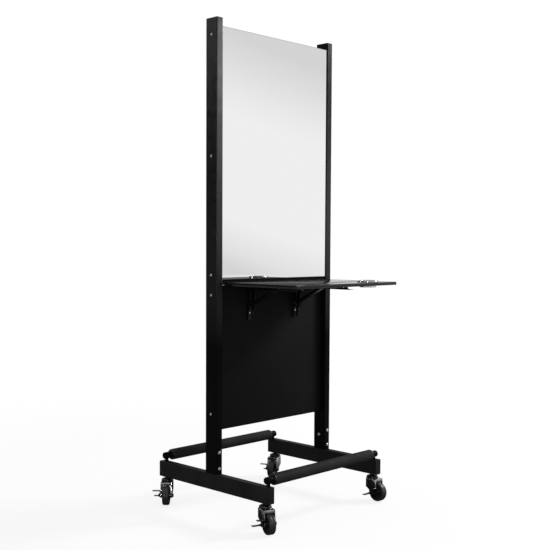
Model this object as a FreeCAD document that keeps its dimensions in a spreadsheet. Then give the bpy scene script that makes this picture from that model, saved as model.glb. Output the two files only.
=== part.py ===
"""Double sided salon station: two uprights on wheeled feet, mirrors back to back, folding shelves.

Millimetres. +Z is up, the floor is z = 0, X runs across the station and the front side faces -Y.
The origin is the point on the floor midway between the uprights.
"""
import FreeCAD, Part
import math
import os
from types import SimpleNamespace

import Sketcher

V = FreeCAD.Vector
UP = V(0, 0, 1)

SIZES = {
    # The whole station
    "frame_width": 640,
    "total_height": 1840,
    "foot_length": 600,
    "caster_height": 105,
    # Box tube of the uprights and feet
    "tube_narrow": 30,
    "tube_wide": 60,
    "tube_wall": 1.5,
    "tube_corner": 3,
    "cap_flange": 2.5,
    "cap_plug": 9,
    "cap_wall": 2,
    "cap_fit": 0.1,
    # Stub that an upright slides over, and its bolts
    "stub_height": 100,
    "stub_wall": 2,
    "stub_corner": 2.5,
    "stub_fit": 0.5,
    "joint_bolt_radius": 4,
    "joint_bolt_length": 16,
    "joint_head_radius": 7,
    "joint_head_height": 4,
    "lower_bolt_rise": 20,
    "side_bolt_rise": 60,
    "upper_bolt_rise": 80,
    "running_fit": 0.05,
    "head_chamfer": 0.8,
    # Lower panel
    "panel_bottom": 325,
    "panel_height": 540,
    "panel_thickness": 12,
    "side_gap": 0.5,
    # Mirrors and the frame between them
    "mirror_gap": 2,
    "mirror_height": 944,
    "mirror_trim": 20,
    "core_bar_width": 40,
    "core_bar_depth": 36,
    "board_thickness": 3,
    "glass_thickness": 5,
    # Screws through the uprights
    "side_screw_radius": 2.5,
    "side_screw_length": 65,
    "side_head_radius": 5,
    "side_head_height": 2.5,
    "side_hole_clearance": 0.25,
    "top_screw_drop": 32,
    "middle_screw_rise": 473,
    "bottom_screw_rise": 37,
    "panel_top_screw_drop": 35,
    "panel_bottom_screw_rise": 63,
    # Shelf and its tool holder
    "shelf_side_gap": 5,
    "shelf_depth": 370,
    "shelf_thickness": 12,
    "shelf_corner": 3,
    "holder_side_inset": 87,
    "holder_front_inset": 75,
    "holder_radius": 32,
    "holder_wall": 2,
    "holder_below": 9,
    "holder_flange_radius": 41,
    "holder_flange_height": 6,
    "holder_lip": 2,
    "holder_fit": 0.5,
    # Folding bracket
    "bracket_spacing": 256,
    "hinge_stand_off": 14,
    "shelf_setback": 8,
    "pivot_drop": 72,
    "pin_radius": 3,
    "hinge_head_radius": 4.5,
    "hinge_head_height": 1.5,
    "leg_width": 24.6,
    "leg_wall": 1.8,
    "leg_depth": 20,
    "leg_toe_depth": 9,
    "leg_pivot_ear": 8,
    "leg_ear": 6,
    "leg_length": 132,
    "leg_screw_radius": 2,
    "leg_screw_depth": 5.5,
    "leg_head_radius": 4,
    "leg_head_height": 2,
    "leg_upper_screw_drop": 6,
    "leg_lower_screw_drop": 100,
    "arm_length": 250,
    "arm_width": 30,
    "arm_wall": 2,
    "arm_rise": 9,
    "arm_drop": 9,
    "arm_ear": 8,
    "arm_head_play": 0.1,
    "arm_screw_radius": 2,
    "arm_screw_grip": 9,
    "arm_screw_back": 35,
    "arm_screw_front": 245,
    "slot_play": 0.3,
    "brace_length": 157,
    "brace_width": 20.4,
    "brace_wall": 1.5,
    "brace_half_depth": 5.5,
    "pivot_pin_proud": 0.3,
    "slide_pin_radius": 2.5,
    "slide_pin_proud": 0.3,
    # Release lever under the arm
    "lever_pivot": 215,
    "lever_drop": 5,
    "lever_pin_radius": 1.5,
    "lever_eye": 3.2,
    "lever_wall": 1.6,
    "lever_side_play": 0.3,
    "lever_top_play": 1,
    "lever_height": 5.7,
    "lever_tooth": 4,
    "lever_tooth_length": 4,
    "lever_tooth_play": 0.5,
    "thumb_start": 25,
    "thumb_length": 38,
    "thumb_thickness": 1.5,
    "spring_thickness": 0.6,
    "spring_width": 6,
    "spring_top_length": 10,
    "spring_reach": 8,
    "spring_setback": 1,
    # Foot bars
    "footrest_inset": 20,
    "footrest_rise": 21,
    "post_offset": 5,
    "post_radius": 7,
    "spigot_radius": 4,
    "spigot_depth": 12,
    "socket_radius": 13,
    "socket_outer_reach": 13,
    "socket_inner_reach": 21,
    "socket_end_wall": 3,
    "socket_corner": 3,
    "bar_radius": 11,
    "bar_wall": 1.5,
    "bar_fit": 0.1,
    "roller_radius": 20,
    "roller_wall": 1.5,
    "roller_play": 0.5,
    "bush_flange": 3,
    "bush_plug": 18,
    "bush_groove_inner": 13,
    "bush_groove_outer": 17,
    "bush_groove_depth": 1,
    "weld_nut_radius": 9,
    "weld_nut_height": 11.5,
    "small_nut_radius": 7,
    "small_nut_height": 8,
    # Casters
    "caster_inset": 30,
    "stud_radius": 5,
    "stud_length": 20,
    "collar_radius": 8.5,
    "collar_height": 5,
    "dome_radius": 23,
    "dome_height": 12,
    "dome_wall": 1.5,
    "dome_shoulder": 8,
    "dome_play": 0.3,
    "race_radius": 12,
    "race_height": 4,
    "race_play": 0.1,
    "rivet_radius": 8,
    "rivet_height": 3.5,
    "crown_radius": 24,
    "crown_height": 10,
    "crown_wall": 2.5,
    "fork_inner_width": 39,
    "fork_plate": 2.5,
    "fork_eye": 11,
    "fork_back": 35,
    "fork_front": 14,
    "fork_straight": 23,
    "fork_lip": 11,
    "trail": 30,
    "wheel_radius": 37.5,
    "tyre_width": 25,
    "tyre_shoulder": 3,
    "rim_radius": 28,
    "rim_wall": 4,
    "rim_width": 22,
    "hub_radius": 9,
    "hub_play": 0.2,
    "web_thickness": 6,
    "axle_radius": 4,
    "nut_radius": 7,
    "nut_height": 6,
    "brake_plate": 2,
    "brake_eye": 8,
    "brake_play": 0.3,
    "brake_reach": 52,
    "brake_tab_width": 14,
    "brake_tab_thickness": 2.6,
    "upper_tab_back": 11,
    "upper_tab_rise": 22,
    "lower_tab_front": 29,
    "lower_tab_drop": 8,
}

# The way each caster trails at rest, as a turn about its stem from straight to the front (degrees)
CASTER_YAW = {"front_left": -20, "front_right": -3, "rear_left": -48, "rear_right": -67}

doc = FreeCAD.newDocument("SalonStation")
sheet = doc.addObject("Spreadsheet::Sheet", "Sizes")
for row, (alias, number) in enumerate(SIZES.items(), start=1):
    sheet.set(f"A{row}", alias)
    sheet.set(f"B{row}", str(number))
    sheet.setAlias(f"B{row}", alias)
doc.recompute()


# ---- Sizes that carry their formula ---------------------------------------------------------------

class Size:
    """A length or angle as a formula over the sheet, with its value so that sketches start in place."""

    def __init__(self, formula, value):
        self.formula = formula
        self.value = value

    def combine(self, sign, other, value):
        return Size(f"({self.formula} {sign} {as_size(other).formula})", value)

    def __add__(self, other):
        return self.combine("+", other, self.value + as_size(other).value)

    def __sub__(self, other):
        return self.combine("-", other, self.value - as_size(other).value)

    def __mul__(self, other):
        return self.combine("*", other, self.value * as_size(other).value)

    def __truediv__(self, other):
        return self.combine("/", other, self.value / as_size(other).value)

    def __neg__(self):
        return Size(f"(0 - {self.formula})", -self.value)

    def __radd__(self, other):
        return as_size(other) + self

    def __rmul__(self, other):
        return as_size(other) * self

    def __rsub__(self, other):
        return as_size(other) - self


def as_size(number):
    """A plain number as a Size."""
    return number if isinstance(number, Size) else Size(f"{float(number)}", float(number))


def other_leg(hypotenuse, leg):
    """The second leg of a right triangle."""
    formula = f"sqrt({hypotenuse.formula}^2 - {leg.formula}^2)"
    return Size(formula, math.sqrt(hypotenuse.value ** 2 - leg.value ** 2))


def slope_angle(rise, length):
    """The angle in degrees of a bar of this length that climbs by rise."""
    return Size(f"(asin({rise.formula} / {length.formula}) / 1deg)",
                math.degrees(math.asin(rise.value / length.value)))


def bind(thing, prop, size):
    """Bind a property to a size."""
    thing.setExpression(prop, as_size(size).formula)


S = SimpleNamespace(**{alias: Size(f"Sizes.{alias}", number) for alias, number in SIZES.items()})


# ---- Places worked out from the sizes -------------------------------------------------------------

tube_x = S.frame_width / 2 - S.tube_narrow / 2
inner_face = S.frame_width / 2 - S.tube_narrow
foot_top = S.caster_height + S.tube_wide
filling_half = inner_face - S.side_gap
panel_top = S.panel_bottom + S.panel_height
core_bottom = panel_top + S.mirror_gap
core_top = core_bottom + S.mirror_height
board_face = S.core_bar_depth / 2 + S.board_thickness
hinge_y = S.panel_thickness / 2 + S.hinge_stand_off
hinge_z = panel_top - S.arm_rise
slot_start = other_leg(S.brace_length, S.pivot_drop)
slot_end = S.pivot_drop + S.brace_length
shelf_half = inner_face - S.shelf_side_gap
holder_x = shelf_half - S.holder_side_inset
holder_y = S.shelf_setback + S.shelf_depth - S.holder_front_inset
shelf_top = S.arm_rise + S.shelf_thickness
lever_outer = S.arm_width / 2 - S.arm_wall - S.lever_side_play
lever_inner = lever_outer - S.lever_wall
footrest_y = S.foot_length / 2 - S.footrest_inset
footrest_z = foot_top + S.footrest_rise
post_x = tube_x - S.post_offset
socket_face = post_x - S.socket_inner_reach
socket_end = post_x + S.socket_outer_reach
bar_end = socket_end - S.socket_end_wall
bush_face = socket_face - S.roller_play
roller_end = bush_face - S.bush_flange
caster_y = S.foot_length / 2 - S.caster_inset
dome_top = S.caster_height - S.collar_height
crown_top = dome_top - S.dome_height
fork_outer = S.fork_inner_width / 2 + S.fork_plate
side_screw_heights = (
    core_top - S.top_screw_drop,
    core_bottom + S.middle_screw_rise,
    core_bottom + S.bottom_screw_rise,
    panel_top - S.panel_top_screw_drop,
    S.panel_bottom + S.panel_bottom_screw_rise,
)
front_bolt_heights = (foot_top + S.lower_bolt_rise, foot_top + S.upper_bolt_rise)


# ---- Building blocks ------------------------------------------------------------------------------

TURNS = {
    "X": FreeCAD.Rotation(UP, V(1, 0, 0)),
    "-X": FreeCAD.Rotation(UP, V(-1, 0, 0)),
    "Y": FreeCAD.Rotation(UP, V(0, 1, 0)),
    "-Y": FreeCAD.Rotation(UP, V(0, -1, 0)),
    "Z": FreeCAD.Rotation(),
    "-Z": FreeCAD.Rotation(UP, V(0, 0, -1)),
}
HALF_TURN = FreeCAD.Rotation(UP, 180)
# How far the middle of a quarter arc stays from its corner, as a share of its radius
ARC_MIDDLE = 1 - math.cos(math.radians(45))
# How far a cutting shape runs past the face that it opens
PAST = 1
FOLDED = FreeCAD.Rotation(V(1, 0, 0), 90)
NODES = []


def place(thing, x=0, y=0, z=0, turn=None):
    """Turn a thing, then bind its position to the sizes."""
    thing.Placement = FreeCAD.Placement(V(0, 0, 0), turn or FreeCAD.Rotation())
    for axis, size in (("x", x), ("y", y), ("z", z)):
        bind(thing, f".Placement.Base.{axis}", size)
    return thing


def box(name, x, y, z):
    """A box between a low and a high plane on each axis."""
    solid = place(doc.addObject("Part::Box", name), x[0], y[0], z[0])
    for prop, (low, high) in (("Length", x), ("Width", y), ("Height", z)):
        bind(solid, prop, as_size(high) - low)
    return solid


def rod(name, radius, along, start, end, x=0, y=0, z=0):
    """A cylinder along X, Y or Z from start to end, through a point given on the other two axes."""
    solid = doc.addObject("Part::Cylinder", name)
    bind(solid, "Radius", radius)
    bind(solid, "Height", as_size(end) - start)
    at = {"X": (start, y, z), "Y": (x, start, z), "Z": (x, y, start)}[along]
    return place(solid, *at, turn=TURNS[along])


def hexagon(name, radius, start, end, along="Z", x=0, y=0):
    """A hexagonal prism whose corners lie on a radius."""
    solid = doc.addObject("Part::Prism", name)
    solid.Polygon = 6
    bind(solid, "Circumradius", radius)
    bind(solid, "Height", as_size(end) - start)
    at = (start, x, y) if along == "X" else (x, y, start)
    return place(solid, *at, turn=TURNS[along])


def fuse(name, *solids):
    """One solid made of several that overlap."""
    joined = doc.addObject("Part::MultiFuse", name)
    joined.Shapes = list(solids)
    joined.Refine = True
    return joined


def gather(name, solids):
    """A group of separate solids."""
    bundle = doc.addObject("Part::Compound", name)
    bundle.Links = list(solids)
    return bundle


def cut(name, base, *tools):
    """A solid with holes or pockets taken out of it."""
    result = doc.addObject("Part::Cut", name)
    result.Base = base
    result.Tool = tools[0] if len(tools) == 1 else gather(name + "_tools", tools)
    return result


def mirrored(name, source):
    """The same piece on the other side of the YZ plane."""
    result = doc.addObject("Part::Mirroring", name)
    result.Source = source
    result.Normal = V(1, 0, 0)
    return result


def copy(name, source, x=0, y=0, z=0, turn=None):
    """A linked copy of a piece, turned and moved."""
    link = doc.addObject("App::Link", name)
    link.LinkedObject = source
    link.LinkTransform = True
    return place(link, x, y, z, turn)


def node(name, thing):
    """Name a finished sub-part, which is written to a file of that name."""
    thing.Label = name
    NODES.append(thing)
    return thing


def on_circle(centre, radius, degrees):
    """A point on a circle about a centre (y, z), its angle counted from +Y towards +Z."""
    turn = math.radians(degrees)
    return centre[0] + radius * round(math.cos(turn), 4), centre[1] + radius * round(math.sin(turn), 4)


def sketch_on(body, plane, offset=0):
    """A sketch on one of a body's own origin planes, or parallel to it."""
    sketch = body.newObject("Sketcher::SketchObject", body.Name + "_sketch")
    support = [feature for feature in body.Origin.OriginFeatures if feature.Role == plane]
    sketch.AttachmentSupport = [(support[0], "")]
    sketch.MapMode = "FlatFace"
    bind(sketch, ".AttachmentOffset.Base.z", offset)
    return sketch


def fix_distance(sketch, kind, geometry, point, size):
    """Hold a point of a sketch at a distance from the sketch's origin."""
    size = as_size(size)
    index = sketch.addConstraint(Sketcher.Constraint(kind, -1, 1, geometry, point, size.value))
    sketch.setExpression(f"Constraints[{index}]", size.formula)


def polygon(sketch, points):
    """A closed outline through points that are given as sizes."""
    points = [(as_size(u), as_size(v)) for u, v in points]
    ends = points[1:] + points[:1]
    first = sketch.GeometryCount
    for (u, v), (next_u, next_v) in zip(points, ends):
        line = Part.LineSegment(V(u.value, v.value, 0), V(next_u.value, next_v.value, 0))
        sketch.addGeometry(line, False)
    for step, (u, v) in enumerate(points):
        following = first + (step + 1) % len(points)
        sketch.addConstraint(Sketcher.Constraint("Coincident", first + step, 2, following, 1))
        fix_distance(sketch, "DistanceX", first + step, 1, u)
        fix_distance(sketch, "DistanceY", first + step, 1, v)


def rounded_rectangle(sketch, u, v, radius):
    """A rectangle between low and high sizes, with four equal round corners."""
    (left, right), (low, high) = [[as_size(size) for size in pair] for pair in (u, v)]
    corner = as_size(radius)
    x0, x1, y0, y1, r = left.value, right.value, low.value, high.value, corner.value
    quarter = math.pi / 2
    first = sketch.GeometryCount
    centres = ((x1 - r, y0 + r), (x1 - r, y1 - r), (x0 + r, y1 - r), (x0 + r, y0 + r))
    runs = (((x0 + r, y0), (x1 - r, y0)), ((x1, y0 + r), (x1, y1 - r)),
            ((x1 - r, y1), (x0 + r, y1)), ((x0, y1 - r), (x0, y0 + r)))
    for side, (centre, (start, end)) in enumerate(zip(centres, runs)):
        sketch.addGeometry(Part.LineSegment(V(*start, 0), V(*end, 0)), False)
        circle = Part.Circle(V(*centre, 0), UP, r)
        sketch.addGeometry(Part.ArcOfCircle(circle, (side - 1) * quarter, side * quarter), False)
    for piece in range(8):
        following = first + (piece + 1) % 8
        sketch.addConstraint(Sketcher.Constraint("Tangent", first + piece, 2, following, 1))
    for line, kind in ((0, "Horizontal"), (2, "Vertical"), (4, "Horizontal"), (6, "Vertical")):
        sketch.addConstraint(Sketcher.Constraint(kind, first + line))
    for arc in (3, 5, 7):
        sketch.addConstraint(Sketcher.Constraint("Equal", first + 1, first + arc))
    index = sketch.addConstraint(Sketcher.Constraint("Radius", first + 1, r))
    sketch.setExpression(f"Constraints[{index}]", corner.formula)
    for kind, line, size in (("DistanceY", 0, low), ("DistanceX", 2, right),
                             ("DistanceY", 4, high), ("DistanceX", 6, left)):
        fix_distance(sketch, kind, first + line, 1, size)


def pad(body, sketch, length):
    """Thicken a sketch along its normal."""
    feature = body.newObject("PartDesign::Pad", body.Name + "_pad")
    feature.Profile = sketch
    bind(feature, "Length", length)
    return feature


def bar(name, section_x, section_y, z, corner, wall=None):
    """An upright bar or tube with a round-cornered section, as a body with one sketch and one pad."""
    body = doc.addObject("PartDesign::Body", name)
    sketch = sketch_on(body, "XY_Plane", z[0])
    rounded_rectangle(sketch, section_x, section_y, corner)
    if wall is not None:
        inside = [(as_size(low) + wall, as_size(high) - wall) for low, high in (section_x, section_y)]
        rounded_rectangle(sketch, *inside, corner - wall)
    pad(body, sketch, as_size(z[1]) - z[0])
    return body


def plate(name, points, x):
    """A flat plate between two X planes, with an outline of (y, z) points."""
    body = doc.addObject("PartDesign::Body", name)
    sketch = sketch_on(body, "YZ_Plane", x[0])
    polygon(sketch, points)
    pad(body, sketch, as_size(x[1]) - x[0])
    return body


def turned(name, profile):
    """A piece turned about the Z axis from a profile of (radius, height) points."""
    body = doc.addObject("PartDesign::Body", name)
    sketch = sketch_on(body, "XZ_Plane")
    polygon(sketch, profile)
    feature = body.newObject("PartDesign::Revolution", name + "_turn")
    feature.Profile = sketch
    feature.ReferenceAxis = (sketch, ["V_Axis"])
    feature.Angle = 360
    return body


def screw(name, shank_radius, shank_length, head_radius, head_height):
    """A pan head screw along +Z whose head rests on z = 0, with a chamfered rim."""
    rim = S.head_chamfer
    return turned(name, [
        (0, -shank_length), (shank_radius, -shank_length), (shank_radius, 0), (head_radius, 0),
        (head_radius, head_height - rim), (head_radius - rim, head_height), (0, head_height),
    ])


# ---- Frame ----------------------------------------------------------------------------------------

def make_uprights():
    """The two uprights, with holes for the side screws and for the bolts into the stubs."""
    tube = bar("upright_tube", (inner_face, S.frame_width / 2), (-S.tube_wide / 2, S.tube_wide / 2),
               (foot_top, S.total_height - S.cap_flange), S.tube_corner, S.tube_wall)
    side_radius = S.side_screw_radius + S.side_hole_clearance
    holes = [rod(f"side_hole_{count}", side_radius, "X", inner_face - PAST, S.frame_width / 2 + PAST,
                 z=height)
             for count, height in enumerate(side_screw_heights)]
    bolt_radius = S.joint_bolt_radius + S.running_fit
    front = -S.tube_wide / 2
    holes += [rod(f"front_hole_{count}", bolt_radius, "Y", front - PAST, front + S.tube_corner,
                  x=tube_x, z=height)
              for count, height in enumerate(front_bolt_heights)]
    holes.append(rod("inner_hole", bolt_radius, "X", inner_face - PAST, inner_face + S.tube_corner,
                     z=foot_top + S.side_bolt_rise))
    right = node("right_upright", cut("right_upright", tube, *holes))
    node("left_upright", mirrored("left_upright", right))


def make_feet():
    """The two foot tubes along Y, with the nuts that are welded inside them."""
    half = S.foot_length / 2 - S.cap_flange
    tube = doc.addObject("PartDesign::Body", "foot_profile")
    sketch = sketch_on(tube, "XZ_Plane", -half)
    width = (inner_face, S.frame_width / 2)
    height = (S.caster_height, foot_top)
    rounded_rectangle(sketch, width, height, S.tube_corner)
    inside = [(low + S.tube_wall, high - S.tube_wall) for low, high in (width, height)]
    rounded_rectangle(sketch, *inside, S.tube_corner - S.tube_wall)
    pad(tube, sketch, half * 2)
    nuts = []
    holes = []
    floor = S.caster_height + S.tube_wall
    ceiling = foot_top - S.tube_wall
    for count, side in enumerate((-1, 1)):
        stud_y = caster_y * side
        post_y = footrest_y * side
        nuts.append(rod(f"stud_nut_{count}", S.weld_nut_radius, "Z", floor - S.tube_wall / 2,
                        floor + S.weld_nut_height, x=tube_x, y=stud_y))
        nuts.append(rod(f"post_nut_{count}", S.small_nut_radius, "Z", ceiling - S.small_nut_height,
                        ceiling + S.tube_wall / 2, x=post_x, y=post_y))
        holes.append(rod(f"stud_hole_{count}", S.stud_radius + S.running_fit, "Z", S.caster_height - PAST,
                         floor + S.weld_nut_height + PAST, x=tube_x, y=stud_y))
        holes.append(rod(f"post_hole_{count}", S.spigot_radius + S.running_fit, "Z",
                         ceiling - S.small_nut_height - PAST, foot_top + PAST, x=post_x, y=post_y))
    right = node("right_foot_tube", cut("right_foot_tube", fuse("foot_with_nuts", tube, *nuts), *holes))
    node("left_foot_tube", mirrored("left_foot_tube", right))


def make_stubs():
    """The short tubes welded on the feet, which the uprights slide over."""
    inset = S.tube_wall + S.stub_fit
    half_depth = S.tube_wide / 2 - inset
    tube = bar("stub_tube", (inner_face + inset, S.frame_width / 2 - inset), (-half_depth, half_depth),
               (foot_top, foot_top + S.stub_height), S.stub_corner, S.stub_wall)
    radius = S.joint_bolt_radius + S.running_fit
    holes = [rod(f"stub_front_hole_{count}", radius, "Y", -half_depth - PAST, -half_depth + S.stub_wall * 2,
                 x=tube_x, z=height)
             for count, height in enumerate(front_bolt_heights)]
    holes.append(rod("stub_inner_hole", radius, "X", inner_face, inner_face + inset + S.stub_wall * 2,
                     z=foot_top + S.side_bolt_rise))
    right = cut("right_stub", tube, *holes)
    node("foot_stubs", gather("foot_stubs", [right, mirrored("left_stub", right)]))


def make_joint_bolts():
    """Button head bolts that hold each upright on its stub: two in front and one on the inner side."""
    bolt = screw("joint_bolt", S.joint_bolt_radius, S.joint_bolt_length, S.joint_head_radius,
                 S.joint_head_height)
    bolts = []
    for side, turn in ((1, "-X"), (-1, "X")):
        for count, height in enumerate(front_bolt_heights):
            bolts.append(copy(f"front_bolt_{count}_{turn}", bolt, tube_x * side, -S.tube_wide / 2, height,
                              TURNS["-Y"]))
        bolts.append(copy(f"inner_bolt_{turn}", bolt, inner_face * side, 0, foot_top + S.side_bolt_rise,
                          TURNS[turn]))
    node("foot_joint_bolts", gather("foot_joint_bolts", bolts))


def cap(name, x, y):
    """An end cap on z = 0 that plugs a tube below it, for a section given as x and y ranges."""
    inset = S.tube_wall + S.cap_fit
    flange = bar(name + "_flange", x, y, (0, S.cap_flange), S.tube_corner)
    plug_x, plug_y = [(low + inset, high - inset) for low, high in (x, y)]
    plug = bar(name + "_plug", plug_x, plug_y, (-S.cap_plug, S.cap_flange / 2), S.tube_corner - S.tube_wall)
    hollow_x, hollow_y = [(low + S.cap_wall, high - S.cap_wall) for low, high in (plug_x, plug_y)]
    hollow = box(name + "_hollow", hollow_x, hollow_y, (-S.cap_plug - PAST, 0))
    plug_shell = cut(name + "_shell", plug, hollow)
    return fuse(name, flange, plug_shell)


def make_end_caps():
    """Plastic caps in the tops of the uprights and in both ends of the feet."""
    across = (-S.tube_narrow / 2, S.tube_narrow / 2)
    along = (-S.tube_wide / 2, S.tube_wide / 2)
    master = cap("end_cap", across, along)
    caps = []
    for name, side in (("left", -1), ("right", 1)):
        caps.append(copy(f"{name}_top_cap", master, tube_x * side, 0, S.total_height - S.cap_flange))
        middle = S.caster_height + S.tube_wide / 2
        end = S.foot_length / 2 - S.cap_flange
        caps.append(copy(f"{name}_front_cap", master, tube_x * side, -end, middle,
                         FreeCAD.Rotation(V(1, 0, 0), 90)))
        caps.append(copy(f"{name}_rear_cap", master, tube_x * side, end, middle,
                         FreeCAD.Rotation(V(1, 0, 0), -90)))
    node("tube_end_caps", gather("tube_end_caps", caps))


# ---- Mirrors and panel ----------------------------------------------------------------------------

def side_screw_hole(name, radius, height):
    """A hole across the whole filling, as deep from each side as a side screw reaches."""
    tip = S.frame_width / 2 - S.side_screw_length
    right = rod(name + "_right", radius, "X", tip - PAST, filling_half + PAST, z=height)
    left = rod(name + "_left", radius, "X", -filling_half - PAST, PAST - tip, z=height)
    return [right, left]


def make_mirror_core():
    """The frame between the mirrors: two stiles and three rails."""
    depth = (-S.core_bar_depth / 2, S.core_bar_depth / 2)
    stile_inner = filling_half - S.core_bar_width
    radius = S.side_screw_radius + S.running_fit
    holes = [side_screw_hole(f"stile_hole_{count}", radius, height)[0]
             for count, height in enumerate(side_screw_heights[:3])]
    blank = box("stile_bar", (stile_inner, filling_half), depth, (core_bottom, core_top))
    stile = cut("right_stile", blank, *holes)
    middle = core_bottom + S.middle_screw_rise - S.core_bar_width / 2
    starts = (core_bottom, middle, core_top - S.core_bar_width)
    rails = [box(f"rail_{count}", (-stile_inner, stile_inner), depth, (start, start + S.core_bar_width))
             for count, start in enumerate(starts)]
    node("mirror_core_frame", gather("mirror_core_frame", [stile, mirrored("left_stile", stile)] + rails))


def make_boards_and_mirrors():
    """A backing board on each side of the core frame, with a mirror on each board."""
    width = (-filling_half, filling_half)
    core_face = S.core_bar_depth / 2
    boards = [box("front_board", width, (-board_face, -core_face), (core_bottom, core_top)),
              box("rear_board", width, (core_face, board_face), (core_bottom, core_top))]
    node("mirror_backing_boards", gather("mirror_backing_boards", boards))
    glass = (core_bottom + S.mirror_trim, core_top)
    glass_face = board_face + S.glass_thickness
    node("front_mirror", box("front_mirror", width, (-glass_face, -board_face), glass))
    node("rear_mirror", box("rear_mirror", width, (board_face, glass_face), glass))


def make_side_screws():
    """Screws through both uprights into the mirror frame and the lower panel."""
    head = screw("side_screw", S.side_screw_radius, S.side_screw_length, S.side_head_radius,
                 S.side_head_height)
    screws = []
    for count, height in enumerate(side_screw_heights):
        screws.append(copy(f"right_screw_{count}", head, S.frame_width / 2, 0, height, TURNS["X"]))
        screws.append(copy(f"left_screw_{count}", head, -S.frame_width / 2, 0, height, TURNS["-X"]))
    node("side_screws", gather("side_screws", screws))


def make_lower_panel():
    """The board under the mirrors, with holes for the side screws and for the bracket screws."""
    face = S.panel_thickness / 2
    board = box("panel_board", (-filling_half, filling_half), (-face, face), (S.panel_bottom, panel_top))
    radius = S.side_screw_radius + S.running_fit
    holes = []
    for count, height in enumerate(side_screw_heights[3:]):
        holes += side_screw_hole(f"panel_hole_{count}", radius, height)
    small = S.leg_screw_radius + S.running_fit
    depth = S.leg_screw_depth + S.running_fit
    for count, (x, height) in enumerate(bracket_screw_places()):
        holes.append(rod(f"front_pilot_{count}", small, "Y", -face - PAST, depth - face, x=x, z=height))
        holes.append(rod(f"rear_pilot_{count}", small, "Y", face - depth, face + PAST, x=x, z=height))
    node("lower_panel", cut("lower_panel", board, *holes))


def bracket_screw_places():
    """The (x, z) places of the screws that hold the bracket legs on one face of the panel."""
    heights = (hinge_z - S.leg_upper_screw_drop, hinge_z - S.leg_lower_screw_drop)
    return [(S.bracket_spacing / 2 * side, height) for side in (-1, 1) for height in heights]


# ---- Folding brackets -----------------------------------------------------------------------------

SIDES = {"front": (-1, FreeCAD.Rotation()), "rear": (1, HALF_TURN)}
PAIR = (("left", -1), ("right", 1))


def make_bracket_legs():
    """Channels screwed upright on both faces of the panel, which carry the hinge and brace pins."""
    half = S.leg_width / 2
    face = S.panel_thickness / 2
    top = hinge_z + S.leg_ear
    outer = box("leg_outer", (-half, half), (-face - S.leg_depth, -face), (top - S.leg_length, top))
    hollow = box("leg_hollow", (S.leg_wall - half, half - S.leg_wall),
                 (-face - S.leg_depth - PAST, -face - S.leg_wall), (top - S.leg_length - PAST, top + PAST))
    pin = S.pin_radius + S.running_fit
    bores = [rod(f"leg_{name}_bore", pin, "X", -half - PAST, half + PAST, y=-hinge_y, z=height)
             for name, height in (("hinge", hinge_z), ("pivot", hinge_z - S.pivot_drop))]
    small = S.leg_screw_radius + S.running_fit
    for count, drop in enumerate((S.leg_upper_screw_drop, S.leg_lower_screw_drop)):
        bores.append(rod(f"leg_screw_hole_{count}", small, "Y", -face - S.leg_wall - PAST, PAST - face,
                         z=hinge_z - drop))
    ear_end = hinge_z - S.pivot_drop - S.leg_pivot_ear
    far = -face - S.leg_depth - PAST
    near = -face - S.leg_toe_depth
    toe = plate("leg_toe_cut", [
        (far, top - S.leg_length - PAST), (near, top - S.leg_length - PAST),
        (near, ear_end - S.leg_depth + S.leg_toe_depth), (far, ear_end + PAST),
    ], (-half - PAST, half + PAST))
    leg = cut("bracket_leg", outer, hollow, toe, *bores)
    node("bracket_legs", gather("bracket_legs", bracket_copies("leg", leg)))


def bracket_copies(name, piece):
    """Four copies of a piece that is built on the front face at x = 0."""
    copies = []
    for side, (_, turn) in SIDES.items():
        for hand, sign in PAIR:
            copies.append(copy(f"{side}_{hand}_{name}", piece, S.bracket_spacing / 2 * sign, turn=turn))
    return copies


def make_bracket_leg_screws():
    """Short screws through the bases of the bracket legs into the panel."""
    seat = S.panel_thickness / 2 + S.leg_wall
    master = screw("leg_screw", S.leg_screw_radius, S.leg_screw_depth + S.leg_wall, S.leg_head_radius,
                   S.leg_head_height)
    screws = []
    for count, (x, height) in enumerate(bracket_screw_places()):
        screws.append(copy(f"front_leg_screw_{count}", master, x, -seat, height, TURNS["-Y"]))
        screws.append(copy(f"rear_leg_screw_{count}", master, x, seat, height, TURNS["Y"]))
    node("bracket_leg_screws", gather("bracket_leg_screws", screws))


def make_bracket_pins():
    """The hinge pins with riveted heads, and the plain pins that the braces turn on."""
    arm_side = S.arm_width / 2
    seat = arm_side + S.arm_head_play
    hinge = fuse("hinge_pin", rod("hinge_shank", S.pin_radius, "X", -seat, seat, y=-hinge_y, z=hinge_z),
                 rod("hinge_head_right", S.hinge_head_radius, "X", seat, seat + S.hinge_head_height,
                     y=-hinge_y, z=hinge_z),
                 rod("hinge_head_left", S.hinge_head_radius, "X", -seat - S.hinge_head_height, -seat,
                     y=-hinge_y, z=hinge_z))
    reach = S.leg_width / 2 + S.pivot_pin_proud
    pivot = rod("pivot_pin", S.pin_radius, "X", -reach, reach, y=-hinge_y, z=hinge_z - S.pivot_drop)
    pins = bracket_copies("hinge", hinge) + bracket_copies("pivot", pivot)
    node("bracket_pins", gather("bracket_pins", pins))


def sorted_pair(one, other):
    """Two sizes, the lower one first."""
    return (one, other) if one.value < other.value else (other, one)


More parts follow.
